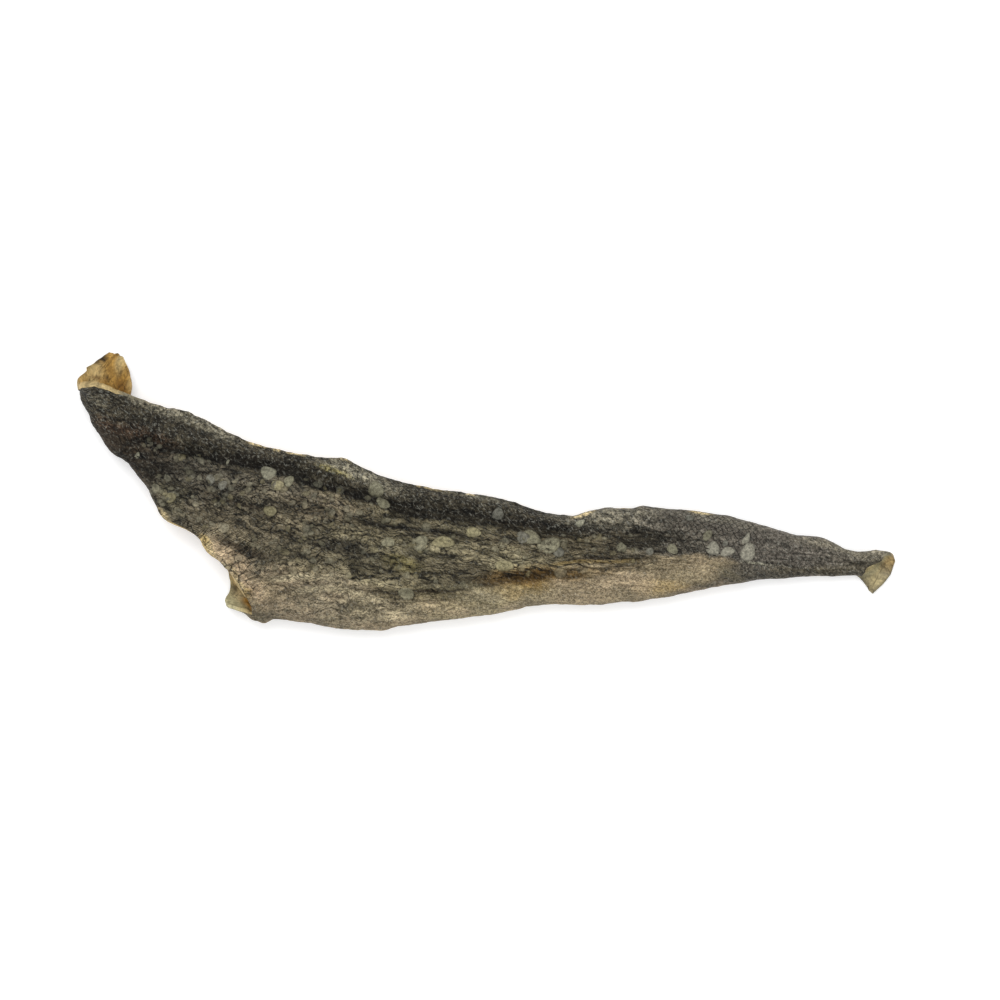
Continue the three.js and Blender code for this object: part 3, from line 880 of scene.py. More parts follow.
    patches: tuple[Patch, ...] = tuple(Patch(*row) for row in (
        (Tone.BACK_GREY, 34, -3.6, 15, 2.2, -4, 0.8),
        (Tone.BACK_GREY, 10, -7, 4, 2, 0, 0.4),
        (Tone.BACK_GREY, 52, -8, 9, 1.8, -12, 0.55),
        (Tone.BACK_GREY, 103, -9.6, 14, 3, -9, 0.7),
        (Tone.BACK_GREY, 150, -8, 12, 1.6, 2, 0.45),
        (Tone.BACK_GREY, 197, -4, 14, 5.4, 14, 0.55),
        (Tone.BACK_GREY, 236, 3.6, 16, 2.0, 2, 0.35),
        (Tone.OLIVE_GOLD, 98, -11.8, 6, 1.2, -6, 0.5),
        (Tone.BACK_GREY, 112, -12.4, 9, 2.8, -10, 0.5),
        (Tone.PURPLE_BROWN, 24, -15.4, 14, 2.6, -4, 0.8),
        (Tone.MAUVE_BROWN, 97, -25, 15, 5.4, 2, 0.6),
        (Tone.MID_SLATE, 58, -24, 15, 4.8, -4, 0.6),
        (Tone.MID_DARK, 155, -35.4, 9, 4.0, 12, 0.8),
        (Tone.MID_DARK, 141, -36.6, 8, 2.6, 10, 0.5),
        (Tone.MID_BROWN, 95, -49.6, 9, 2.6, 14, 0.85),
        (Tone.GOLD_SAND, 171, -39, 9, 2, 14, 0.55),
        (Tone.MID_DARK, 95, -33.8, 8, 2.4, 0, 0.45),
        (Tone.MID_SLATE, 83, -22, 12, 3.4, 0, 0.75),
        # Painted highlight on a ridge.
        (Tone.RIDGE_HIGHLIGHT_BEIGE, 156, -44, 9, 2.2, 14, 0.7),
        (Tone.OLIVE_PALE, 171, -30.2, 8, 2.4, 12, 0.6),
        (Tone.MID_OLIVE, 187, -24.6, 8, 3.2, 14, 0.6),
        (Tone.BELLY_SAND, 198, -23.6, 9, 2.8, 14, 0.8),
        (Tone.WRINKLE_SAND, 63, -40.5, 14, 5.4, -6, 0.75),
        (Tone.WRINKLE_SAND, 83, -36, 10, 4, -6, 0.85),
        # Painted shade in a fold.
        (Tone.BROWN_AND_FOLD_SHADE, 71, -46.8, 9, 1.4, -6, 0.6),
        (Tone.MID_SLATE, 108, -37.8, 13, 2.8, 2, 0.6),
        (Tone.OLIVE_DEEP, 137, -48.0, 17, 2.8, 12, 0.8),
        (Tone.MID_DARK, 128, -22.6, 9, 1.6, 4, 0.5),
        (Tone.OLIVE_PALE, 133, -31, 7, 3, 8, 0.6),
        (Tone.OLIVE_PALE, 142, -28, 5.5, 2.6, 8, 0.6),
        (Tone.OLIVE_PALE, 121.5, -33, 2.6, 2.6, 0, 0.5),
        (Tone.OLIVE_PALE, 151, -20.5, 8, 3, 14, 0.7),
        (Tone.OLIVE_PALE, 168, -26.6, 12, 5, 14, 0.35),
        (Tone.PINK_BEIGE, 86, -52, 7, 2.0, 14, 0.35),
        # Painted highlight along the belly's ridges.
        (Tone.RIDGE_HIGHLIGHT_BEIGE, 121, -56.4, 15, 3.4, 4, 0.6),
        (Tone.OLIVE_PALE, 166, -31, 6, 3, 8, 0.6),
        (Tone.OLIVE_PALE, 43, -35, 5, 6, 50, 0.45),
        (Tone.OLIVE_GOLD, 128.5, -39, 6, 3.2, 0, 0.6),
        (Tone.OCHRE, 175, -35.8, 8, 1.4, 14, 0.6),
        (Tone.GOLD_SAND, 222, -25, 11, 3, 12, 0.6),
        (Tone.PINK_BEIGE, 208, -27, 12, 4, 14, 0.6),
        (Tone.BELLY_CREAM, 152, -55, 9, 2.4, 6, 0.2),
    ))
    flesh_bits: tuple[Patch, ...] = tuple(Patch(*row) for row in (
        (Tone.EDGE_CREAM, 188, -4.4, 4, 1.3, 35, 0.9),
        (Tone.EDGE_CREAM, 228.6, 6.2, 4.4, 1.4, 6, 0.9),
        (Tone.EDGE_CREAM, 202, 4, 2.4, 1, 0, 0.7),
        (Tone.EDGE_CREAM, 41.6, -41.6, 3.4, 1.1, -40, 0.7),
        (Tone.EDGE_CREAM, 59.4, -48.8, 4.4, 1.9, -52, 0.85),
        (Tone.OCHRE, 57.8, -46.8, 2.6, 1.4, -52, 0.7),
        (Tone.OLIVE_PALE, 67.4, -55.8, 3.6, 1.5, -52, 0.8),
        (Tone.EDGE_CREAM, 72.4, -57.8, 5.6, 0.9, -47, 0.85),
        (Tone.OCHRE, 77.2, -62.2, 2.2, 1.4, -40, 0.7),
    ))
    crack_patch: Patch = Patch(Tone.CRACK_BEIGE, 71.8, -56.2, 12, 4.6, -46, 1.0)

    @staticmethod
    def graded(stops: Stops, x: Array) -> Array:
        """Grades colours along x.

        Args:
            stops: The (place, colour) stops, in rising order of place.
            x: The place along the fillet.

        Returns:
            The colour at each place.
        """
        places = [stop[0] for stop in stops]
        colours = np.array([stop[1].linear() for stop in stops])
        return np.stack([np.interp(x, places, colours[:, channel]) for channel in range(3)], axis=-1)

    def paint(self, x: Array, v: Array) -> tuple[Array, Array, Array]:
        """Paints the skin.

        Args:
            x: The place along the fillet.
            v: The place across the sheet.

        Returns:
            The colour of each place; its marks, which are pockets of scales, the tail's net, belly grain and
            cracks; and its folds, which are lengthwise lines, slanting lines, woolly mottling and 1.
        """
        noise = Noise(self.seed)
        warp_x = x + 2.6 * noise.layered(x / 7.0, v / 4.0, 3)
        warp_v = v + 0.9 * noise.layered(x / 9.0 + 40, v / 3.4, 3)
        valley = Curve(MAIN_VALLEY.line)(x)
        colour = self.graded(self.middle, warp_x)
        back = smooth(warp_v - valley, -0.4, 1.8) * (1 - 0.8 * smooth(warp_x, 214, 244))
        colour = mixed(colour, self.graded(self.back, warp_x), back)
        below = Curve(self.belly_top)(np.clip(warp_x, 62, 256)) - warp_v
        in_belly = smooth(below, -0.9, 1.6) * smooth(x, 58, 64) * (1 - smooth(warp_x, 244, 258))
        colour = mixed(colour, self.graded(self.belly, warp_x), in_belly)
        for mark in (*self.patches, *self.bands, self.crack_patch):
            colour = mixed(colour, mark.tone.linear(), mark.share(warp_x, warp_v))
        for bit in self.flesh_bits:
            colour = mixed(colour, bit.tone.linear(), bit.share(x + (warp_x - x) * 0.3, warp_v))
        lumps = noise.layered(x / 9.0 + 60, v / 5.0 + 3, 3)
        colour = mixed(colour, Tone.PINK_BEIGE.linear(), 0.3 * in_belly * smooth(lumps, 0.1, 0.9))
        colour = mixed(colour, Tone.MID_OLIVE.linear(), 0.4 * in_belly * smooth(lumps, -0.1, -0.9))
        back_crest, belly_crest = self.relief.shape.crests(x)
        # Painted shade: the skin darkens towards the belly's crest, where the edge curls down.
        belly_curl_shade = self.belly_curl_painted_shade * smooth(v, belly_crest + 3.0, belly_crest - 2.0)
        colour = colour * (1 - belly_curl_shade)[..., None]
        back_edge = back_crest + self.relief.shape.back_length(x)
        bright_part = smooth(x, 60, 72) * smooth(x, 104, 98) + smooth(x, 122, 126) * smooth(x, 150, 146)
        bright_edge = smooth(v, back_edge - 1.1, back_edge - 0.5) * bright_part
        bright_edge = bright_edge * smooth(noise.layered(x / 3.0, v * 0, 2), -0.5, 0.2)
        colour = mixed(colour, Tone.EDGE_CREAM.linear(), 0.8 * bright_edge)
        grey_edge = smooth(v, back_edge - 1.8, back_edge - 0.4) * smooth(x, 16, 24) * smooth(x, 62, 56)
        colour = mixed(colour, Tone.TAIL_END.linear(), 0.85 * grey_edge)
        broad, fine = self.relief.grooves(x, v)
        cracks = self.crack_patch.share(x, warp_v)
        # Painted shade: the colour darkens in the wrinkle grooves and lightens on the crests between them, less on
        # the belly and in the crack patch.
        open_skin = 1 - 0.3 * in_belly
        depth = (1 - self.groove_painted_shade * broad * open_skin) * (1 - self.fine_groove_painted_shade * fine * open_skin)
        depth = depth + (1 - depth) * 0.7 * cracks
        spots = noise.layered(x / 4.6 + 9, v / 2.4, 4)
        blotch = 1 + (self.blotch + self.back_blotch * back) * spots + 0.08 * noise.at(x / 30.0, v / 18.0)
        streaks = noise.layered(x / 30.0 + 33, self.relief.shape.flow(x, v) / 3.6, 3)
        blotch = blotch * (1 + self.streak * streaks * (1 - back) * (1 - 0.35 * in_belly))
        colour = colour * (blotch * depth)[..., None]
        for line in self.thin_lines:
            share = line.share(x + 0.2 * (warp_x - x), v + 0.3 * (warp_v - v))
            colour = mixed(colour, line.tone.linear(), share)
        colour = np.clip(colour, 0.002, 1)
        tail = smooth(x, 205, 228)
        lengthwise, slanting = self.relief.zones(x, v)
        pockets = (1 - back) * (1 - in_belly) * (1 - tail) * smooth(x, 10, 36) * (1 - 0.55 * smooth(x, 96, 130))
        net = smooth(x, 206, 226) * (1 - 0.72 * smooth(x, 246, 260)) * (1 - in_belly)
        marks = np.stack([pockets * (1 - 0.6 * slanting), net, in_belly, cracks], axis=-1)
        lines = lengthwise * (1 - 0.3 * in_belly) * (1 - 0.5 * tail) * (1 - 0.4 * back) * (1 - 0.8 * cracks)
        woolly = np.maximum(back * (1 - 0.3 * tail), 0.75 * tail * (1 - in_belly)) * (1 - 0.55 * net)
        folds = np.stack([lines, slanting * (1 - 0.5 * in_belly), woolly, np.ones_like(x)], axis=-1)
        return colour, marks, folds


@dataclass(frozen=True)
class FleshColours:
    """Where the flesh side's colours lie: tan at the head end, cream at the tail and along the cuts."""

    seed: int = 23
    tail_start: float = 276.0
    fibre_pitch: float = 7.5
    cream_edges: Pairs = ((60, 100), (121, 150), (181, 193), (222, 235))
    patches: tuple[Patch, ...] = tuple(Patch(*row) for row in (
        (Tone.FLESH_CREAM, -7.2, -11.0, 5.4, 3.4, 62, 0.6),
        (Tone.FLESH_CREAM, -15.8, -21.6, 2.4, 2.8, 0, 0.6),
        (Tone.FLESH_CREAM, -11.4, -30.4, 1.8, 2.2, 0, 0.35),
        (Tone.FLESH_BROWN, -10.4, -26.2, 2.0, 3.4, 12, 0.8),
        (Tone.FLESH_BROWN, -8.2, -14.2, 5.0, 0.5, 78, 0.7),
        (Tone.AMBER_DARK, -10.5, -17.8, 3.2, 0.35, -62, 0.9),
        (Tone.AMBER_DARK, -14.0, -23.9, 0.5, 0.5, 0, 0.9),
        (Tone.FLESH_BROWN, -13.2, -17.4, 0.5, 3.0, 0, 0.5),
        # Painted shade in the head flap's notch.
        (Tone.SHADE_AND_LINE_BLACK, -13.9, -12.1, 1.9, 1.4, -12, 0.98, 0.35),
        (Tone.SHADE_AND_LINE_BLACK, -11.4, -11.2, 2.0, 0.4, 34, 0.7),
        (Tone.FRINGE_GREEN, 72.5, -74, 6.0, 7.0, 0, 0.9),
        (Tone.FRINGE_GREEN, 70.0, -80, 3.0, 8.0, 0, 0.5),
        (Tone.EDGE_CREAM, 75.4, -80.8, 3.4, 2.6, 15, 0.9),
        (Tone.AMBER_GOLD, 77.2, -79.6, 2.0, 1.8, 20, 0.95),
        (Tone.FLESH_BROWN, 77.4, -80.0, 0.8, 0.7, 0, 0.8),
        # Painted shade in the pit at the belly roll's open end.
        (Tone.SHADE_AND_LINE_BLACK, 71.5, -82.4, 1.1, 0.9, 0, 0.95),
        (Tone.FLESH_CREAM, 296.2, 20.6, 2.6, 3.0, 0, 0.7),
        (Tone.SCALE_DIM, 299.2, 16.8, 1.2, 2.8, 25, 0.6),
        (Tone.TAIL_TAN, 300.8, 12.2, 2.4, 5.0, 25, 0.8),
        # Painted shade along the tail flap's fold.
        (Tone.FLESH_BROWN, 297.6, 14.8, 0.5, 4.2, 25, 0.35),
    ))

    def paint(self, x: Array, v: Array, near_cut: Array) -> Array:
        """Paints the flesh side.

        Args:
            x: The place along the fillet.
            v: The place across the sheet.
            near_cut: 1 on a cut edge, 0 away from it.

        Returns:
            The colour of each place.
        """
        noise = Noise(self.seed)
        cloud = noise.layered(x / 6.0, v / 5.0, 4)
        whole = (*x.shape, 3)
        tan = np.broadcast_to(Tone.FLESH_TAN.linear(), whole)
        tan = mixed(tan, Tone.FLESH_ORANGE.linear(), smooth(cloud, -0.3, 0.8))
        cream = np.broadcast_to(Tone.TAIL_CREAM.linear(), whole)
        cream = mixed(cream, Tone.FLESH_CREAM.linear(), smooth(cloud, 0.0, 1.0))
        colour = mixed(tan, cream, smooth(x, self.tail_start - 60, self.tail_start))
        chevrons = np.sin(2 * np.pi * (x - 0.5 * np.abs(v + 30 - 0.05 * x)) / self.fibre_pitch)
        inner = smooth(x, 20, 50) * smooth(x, 285, 270)
        colour = mixed(colour, Tone.FLESH_BROWN.linear(), 0.25 * smooth(chevrons, 0.72, 1.0) * inner)
        rim_share = near_cut * (0.12 + 0.88 * smooth(x, -5, 0)) * (1 - 0.6 * smooth(x, 50, 280))
        colour = mixed(colour, Tone.RIM_CREAM.linear(), rim_share)
        cream_edge = sum(smooth(x, start, start + 4) * smooth(x, end, end - 4) for start, end in self.cream_edges)
        skin_edge = near_cut * smooth(v, -13, -9) * smooth(x, 15, 19) * (1 - cream_edge)
        colour = mixed(colour, Tone.BACK_GREY.linear(), np.clip(1.25 * skin_edge, 0, 1))
        # Painted shade: a dark line along the skin's torn end where it meets the tail flap.
        skin_end_shade = near_cut * smooth(x, 284, 290) * smooth(v, 4.5, 2.5)
        colour = mixed(colour, Tone.MID_DARK.linear(), np.clip(1.3 * skin_end_shade, 0, 1))
        for patch in self.patches:
            colour = mixed(colour, patch.tone.linear(), patch.share(x + 0.6 * cloud, v))
        return np.clip(colour * (1 + 0.12 * cloud)[..., None], 0.002, 1)


class Nodes:
    """A short way to write a material's nodes."""

    def __init__(self, name: str) -> None:
        """Makes an empty node material.

        Args:
            name: The material's name.
        """
        self.material = bpy.data.materials.new(name)
        self.material.use_nodes = True
        self.tree = self.material.node_tree
        self.shader = self.tree.nodes["Principled BSDF"]

    def add(self, kind: str, inputs: dict[str | int, object], **settings: object) -> bpy.types.Node:
        """Adds a node.

        Args:
            kind: The node's type.
            inputs: What each input gets: a socket to link from, or a value.
            **settings: The node's own settings.

        Returns:
            The new node.
        """
        node = self.tree.nodes.new(kind)
        for key, value in settings.items():
            setattr(node, key, value)
        for key, value in inputs.items():
            self.feed(node.inputs[key], value)
        return node

    def math(self, operation: str, first: object, second: object = 0.0) -> Socket:
        """Combines two numbers by an operation, such as MULTIPLY."""
        return self.add("ShaderNodeMath", {0: first, 1: second}, operation=operation).outputs[0]

    def remap(self, value: object, low: float, high: float, to_low: float, to_high: float) -> Socket:
        """Maps the range from low to high smoothly to another range, and is level outside it."""
        inputs = {"Value": value, "From Min": low, "From Max": high, "To Min": to_low, "To Max": to_high}
        return self.add("ShaderNodeMapRange", inputs, interpolation_type="SMOOTHSTEP").outputs["Result"]

    def scaled(self, colour: object, factor: object) -> Socket:
        """Makes a colour lighter or darker by a factor."""
        return self.add("ShaderNodeVectorMath", {0: colour, "Scale": factor}, operation="SCALE").outputs[0]

    def where(self, share: object, factor: object) -> Socket:
        """A factor that holds where share is 1 and is 1 where share is 0."""
        return self.add("ShaderNodeMix", {0: share, 2: 1.0, 3: factor}, data_type="FLOAT").outputs[0]

    def product(self, factors: list[object]) -> Socket:
        """Multiplies several numbers.

        Args:
            factors: The sockets or values.

        Returns:
            Their product.
        """
        result = factors[0]
        for factor in factors[1:]:
            result = self.math("MULTIPLY", result, factor)
        return result

    def shades(self, rows: list[tuple[object, ...]]) -> Socket:
        """Turns patterns into one factor for the colour.

        Args:
            rows: For each pattern where it shows, or None for everywhere, then the pattern, the low and the
                high end of its range, and the factor at each end.

        Returns:
            The product of all the factors.
        """
        factors = []
        for share, *pattern in rows:
            factor = self.remap(*pattern)
            factors.append(factor if share is None else self.where(share, factor))
        return self.product(factors)

    def lines(self, place: object, turn: float, along: float, across: float, width: float) -> Socket:
        """Thin wandering lines that run mostly one way.

        Args:
            place: The place on the sheet.
            turn: The way the lines run, in degrees.
            along: How often they waver, per centimetre.
            across: How closely they stand, per centimetre.
            width: How broad they are, as a share of the noise's range.

        Returns:
            1 on a line and 0 away from it.
        """
        value = self.noise(self.stretched(place, turn, along, across), 1.0, 1.5, 0.45)
        away = self.math("ABSOLUTE", self.math("SUBTRACT", value, 0.5))
        return self.remap(away, 0.2 * width, width, 1.0, 0.0)

    def noise(self, place: object, scale: float, detail: float, roughness: float = 0.55) -> Socket:
        """Noise over the sheet, around 0.5."""
        inputs = {"Vector": place, "Scale": scale, "Detail": detail, "Roughness": roughness}
        return self.add("ShaderNodeTexNoise", inputs, noise_dimensions="2D").outputs[0]

    def cells(self, place: object, scale: float, randomness: float, feature: str) -> bpy.types.Node:
        """Cells over the sheet, such as scales."""
        inputs = {"Vector": place, "Scale": scale, "Randomness": randomness}
        return self.add("ShaderNodeTexVoronoi", inputs, voronoi_dimensions="2D", feature=feature)

    def stretched(self, place: object, turn: float, along: float, across: float) -> Socket:
        """Turns the places by degrees, then sets how closely a pattern stands along and across."""
        inputs = {"Vector": place, "Rotation": (0, 0, math.radians(turn)), "Scale": (1 / along, 1 / across, 1)}
        return self.add("ShaderNodeMapping", inputs, vector_type="TEXTURE").outputs[0]

    def warped(self, place: object, scale: float, amount: float) -> Socket:
        """Shifts the places on the sheet by noise, so that a pattern runs unevenly.

        Args:
            place: The place on the sheet, in centimetres.
            scale: How many waves the shift has in a centimetre.
            amount: How far it shifts, in centimetres.

        Returns:
            The shifted place.
        """
        inputs = {"Vector": place, "Scale": scale, "Detail": 2.0}
        shift = self.add("ShaderNodeTexNoise", inputs, noise_dimensions="2D").outputs["Color"]
        centred = self.add("ShaderNodeVectorMath", {0: shift, 1: (0.5, 0.5, 0.5)}, operation="SUBTRACT").outputs[0]
        scaled = self.add("ShaderNodeVectorMath", {0: centred, "Scale": amount}, operation="SCALE").outputs[0]
        return self.add("ShaderNodeVectorMath", {0: place, 1: scaled}, operation="ADD").outputs[0]

    def attribute(self, name: str) -> bpy.types.Node:
        """Reads a colour attribute of the mesh."""
        return self.add("ShaderNodeAttribute", {}, attribute_name=name)

    def place(self, name: str) -> Socket:
        """The place on the sheet, in centimetres: straight in Sheet, following the wrinkles in Flow."""
        return self.add("ShaderNodeUVMap", {}, uv_map=name).outputs[0]

    def bump(self, height: object, distance: float, strength: float) -> None:
        """Raises the look of the surface by height times distance, in metres."""
        node = self.add("ShaderNodeBump", {"Height": height, "Distance": distance, "Strength": strength})
        self.tree.links.new(node.outputs[0], self.shader.inputs["Normal"])

    def set(self, **values: object) -> None:
        """Feeds the shader's own sockets; an underscore in a name stands for a space."""
        for key, value in values.items():
            self.feed(self.shader.inputs[key.replace("_", " ")], value)

    def feed(self, socket: Socket, value: object) -> None:
        """Gives an input socket its value or links it to an output socket.

        Args:
            socket: The input socket.
            value: A socket to link from, or a value.
        """
        if isinstance(value, Socket):
            self.tree.links.new(value, socket)
        else:
            socket.default_value = value


@dataclass(frozen=True)
class SkinFinish:
    """Dried skin: scale pockets, a net of scales, wandering wrinkle lines, fine grain; matt, hardly shiny."""

    name: str = "dried_skin"
    pocket_size: float = 0.21
    net_size: float = 0.2
    cracks_per_cm: float = 2.9
    brightest: float = 1.6
    brightest_wool: float = 2.0
    fleck_highlight: float = 0.085
    fleck_blue: float = 0.86
    depth: float = 0.0005
    strength: float = 0.85
    shine: float = 0.16

    def material(self) -> bpy.types.Material:
        """Makes the material.

        Returns:
            The material.
        """
        nodes = Nodes(self.name)
        place = nodes.place("Sheet")
        marks = nodes.attribute("Marks")
        parts = nodes.add("ShaderNodeSeparateColor", {0: marks.outputs["Color"]}).outputs
        pockets, net, grain, cracks = parts[0], parts[1], parts[2], marks.outputs["Alpha"]
        folds = nodes.add("ShaderNodeSeparateColor", {0: nodes.attribute("Folds").outputs["Color"]}).outputs
        lengthwise, slanting, woolly = folds[0], folds[1], folds[2]

        uneven = nodes.warped(nodes.stretched(place, 6, 0.85, 1.15), 3.4, 0.42)
        pocket_edge = nodes.cells(uneven, 1 / self.pocket_size, 1.0, EDGES).outputs["Distance"]
        pocket_tone = nodes.cells(uneven, 1 / self.pocket_size, 1.0, "F1").outputs["Color"]
        pocket_light = nodes.add("ShaderNodeSeparateColor", {0: pocket_tone}).outputs[0]
        gap = nodes.remap(pocket_edge, 0.0, 0.15, 1.0, 0.0)
        diamonds = nodes.warped(nodes.stretched(place, 45, 1.0, 1.0), 1.4, 0.3)
        net_edge = nodes.cells(diamonds, 1 / self.net_size, 0.28, EDGES).outputs["Distance"]
        net_line = nodes.remap(net_edge, 0.0, 0.14, 1.0, 0.0)

        wavy = nodes.warped(nodes.warped(nodes.place("Flow"), 1.2, 0.5), 5.0, 0.13)
        broad_lines = nodes.lines(wavy, 0, 0.8, 5.0, 0.055)
        thin_lines = nodes.lines(wavy, -4, 1.8, 10.0, 0.055)
        slant_lines = nodes.lines(nodes.warped(nodes.warped(place, 1.4, 0.3), 5.0, 0.1), 50, 1.7, 8.0, 0.075)
        crack_edge = nodes.cells(nodes.warped(place, 4.0, 0.16), self.cracks_per_cm, 1.0, EDGES).outputs["Distance"]
        crack_line = nodes.remap(crack_edge, 0.0, 0.12, 1.0, 0.0)

        fine = nodes.noise(place, 24.0, 6.0, 0.7)
        crumb = nodes.noise(nodes.stretched(place, 10, 0.8, 1.3), 9.0, 6.0, 0.65)
        wool = nodes.noise(nodes.warped(place, 5.0, 0.2), 9.0, 6.0, 0.74)
        tufts = nodes.noise(nodes.warped(nodes.stretched(place, -20, 0.8, 1.3), 3.0, 0.3), 3.6, 4.0, 0.6)
        sand = nodes.noise(nodes.warped(nodes.stretched(place, 32, 0.75, 1.3), 4.0, 0.2), 15.0, 5.0, 0.64)
        factor = nodes.shades([
            (pockets, pocket_light, 0.0, 1.0, 0.74, 1.54),
            (pockets, gap, 0.0, 1.0, 1.1, 0.36),
            (net, net_line, 0.0, 1.0, 1.16, 0.36),
            (lengthwise, broad_lines, 0.0, 1.0, 1.13, 0.28),
            (lengthwise, thin_lines, 0.0, 1.0, 1.1, 0.4),
            (slanting, slant_lines, 0.0, 1.0, 1.25, 0.24),
            (cracks, crack_line, 0.0, 1.0, 1.06, 0.3),
            (grain, gap, 0.0, 1.0, 1.03, 0.74),
            (grain, sand, 0.36, 0.62, 0.68, 1.26),
            (woolly, wool, 0.38, 0.63, 0.36, 2.25),
            (woolly, tufts, 0.36, 0.64, 0.58, 1.44),
            (None, crumb, 0.3, 0.7, 0.6, 1.46),
            (None, fine, 0.3, 0.7, 0.56, 1.46),
        ])
        cap = nodes.math("MULTIPLY", nodes.where(woolly, self.brightest_wool), self.brightest)
        factor = nodes.add("ShaderNodeMath", {0: factor, 1: cap, 2: 0.5}, operation="SMOOTH_MIN").outputs[0]
        # Painted highlights: pale, nearly neutral flecks added on top of the skin's colour, stronger on the woolly
        # back.
        flecks = nodes.noise(nodes.warped(nodes.stretched(place, -30, 0.7, 1.3), 6.0, 0.2), 11.0, 5.0, 0.72)
        fleck = nodes.remap(flecks, 0.52, 0.68, 0.0, self.fleck_highlight)
        fleck = nodes.math("MULTIPLY", fleck, nodes.where(woolly, 1.7))
        fleck_blue = nodes.math("MULTIPLY", fleck, self.fleck_blue)
        fleck_highlight_colour = nodes.add("ShaderNodeCombineColor", {0: fleck, 1: fleck, 2: fleck_blue}).outputs[0]
        dark_skin = nodes.scaled(nodes.attribute("Tone").outputs["Color"], factor)
        colour = nodes.add("ShaderNodeVectorMath", {0: dark_skin, 1: fleck_highlight_colour}, operation="ADD").outputs[0]

        dents = nodes.math("ADD", nodes.math("MULTIPLY", pockets, gap), nodes.math("MULTIPLY", net, net_line))
        for share, line in ((lengthwise, broad_lines), (lengthwise, thin_lines), (slanting, slant_lines)):
            dents = nodes.math("ADD", dents, nodes.math("MULTIPLY", share, line))
        rise = nodes.math("ADD", nodes.math("MULTIPLY", fine, 0.5), nodes.math("MULTIPLY", crumb, 1.1))
        nodes.bump(nodes.math("SUBTRACT", rise, nodes.math("MULTIPLY", dents, 0.5)), self.depth, self.strength)
        roughness = nodes.remap(crumb, 0.3, 0.7, 0.82, 0.58)
        nodes.set(Base_Color=colour, Roughness=roughness, Specular_IOR_Level=self.shine)
        return nodes.material


@dataclass(frozen=True)
class FleshFinish:
    """Dried flesh: smooth and leathery, with faint fibres, clouds and a few fine dark cracks."""

    name: str = "dried_flesh"
    depth: float = 0.0005
    strength: float = 0.7
    shine: float = 0.2

    def material(self) -> bpy.types.Material:
        """Makes the material.

        Returns:
            The material.
        """
        nodes = Nodes(self.name)
        place = nodes.place("Sheet")
        fibres = nodes.noise(nodes.warped(nodes.stretched(place, 28, 0.8, 1.4), 2.0, 0.5), 5.0, 6.0, 0.6)
        crumb = nodes.noise(place, 14.0, 6.0, 0.65)
        cloud = nodes.noise(place, 3.2, 3.0, 0.5)
        edge = nodes.cells(nodes.warped(place, 2.4, 0.6), 1.1, 1.0, EDGES).outputs["Distance"]
        crack = nodes.remap(edge, 0.0, 0.03, 1.0, 0.0)
        wrinkle = nodes.lines(nodes.warped(place, 2.2, 0.35), 62, 1.1, 3.4, 0.05)
        factor = nodes.shades([
            (None, fibres, 0.3, 0.7, 0.86, 1.14),
            (None, crumb, 0.3, 0.7, 0.8, 1.2),
            (None, cloud, 0.3, 0.7, 0.84, 1.16),
            (None, crack, 0.0, 1.0, 1.0, 0.62),
            (None, wrinkle, 0.0, 1.0, 1.04, 0.8),
        ])
        rise = nodes.math("ADD", nodes.math("MULTIPLY", fibres, 0.6), nodes.math("MULTIPLY", crumb, 0.5))
        nodes.bump(nodes.math("SUBTRACT", rise, nodes.math("MULTIPLY", crack, 0.4)), self.depth, self.strength)
        colour = nodes.scaled(nodes.attribute("Tone").outputs["Color"], factor)
        roughness = nodes.remap(crumb, 0.3, 0.7, 0.66, 0.48)
        nodes.set(Base_Color=colour, Roughness=roughness, Specular_IOR_Level=self.shine)
        return nodes.material


@dataclass(frozen=True)
class ScaleFinish:
    """A thin horny scale: growth rings round its middle and milky clouds, a little smoother than the skin."""

    name: str = "dried_scale"
    rings: float = 5.5
    depth: float = 0.0003
    strength: float = 0.7
    shine: float = 0.14

    def material(self) -> bpy.types.Material:
        """Makes the material.

        Returns:
            The material.
        """
        nodes = Nodes(self.name)
        place = nodes.place("Sheet")
        radius = nodes.add("ShaderNodeSeparateColor", {0: nodes.attribute("Marks").outputs["Color"]}).outputs[0]
        wave = nodes.math("SINE", nodes.math("MULTIPLY", radius, self.rings * 2 * math.pi))
        cloud = nodes.noise(place, 9.0, 5.0, 0.6)
        fine = nodes.noise(place, 24.0, 5.0, 0.65)
        factor = nodes.shades([
            (None, wave, -1.0, 1.0, 0.93, 1.06),
            (None, cloud, 0.3, 0.7, 0.66, 1.32),
            (None, fine, 0.3, 0.7, 0.76, 1.24),
            # Painted shade: the scale darkens at its edge, where it lies over the skin.
            (None, radius, 0.82, 1.0, 1.0, 0.74),
        ])
        nodes.bump(nodes.math("ADD", nodes.math("MULTIPLY", wave, 0.1), cloud), self.depth, self.strength)
        colour = nodes.scaled(nodes.attribute("Tone").outputs["Color"], factor)
        roughness = nodes.remap(cloud, 0.3, 0.7, 0.7, 0.5)
        nodes.set(Base_Color=colour, Roughness=roughness, Specular_IOR_Level=self.shine)
        return nodes.material


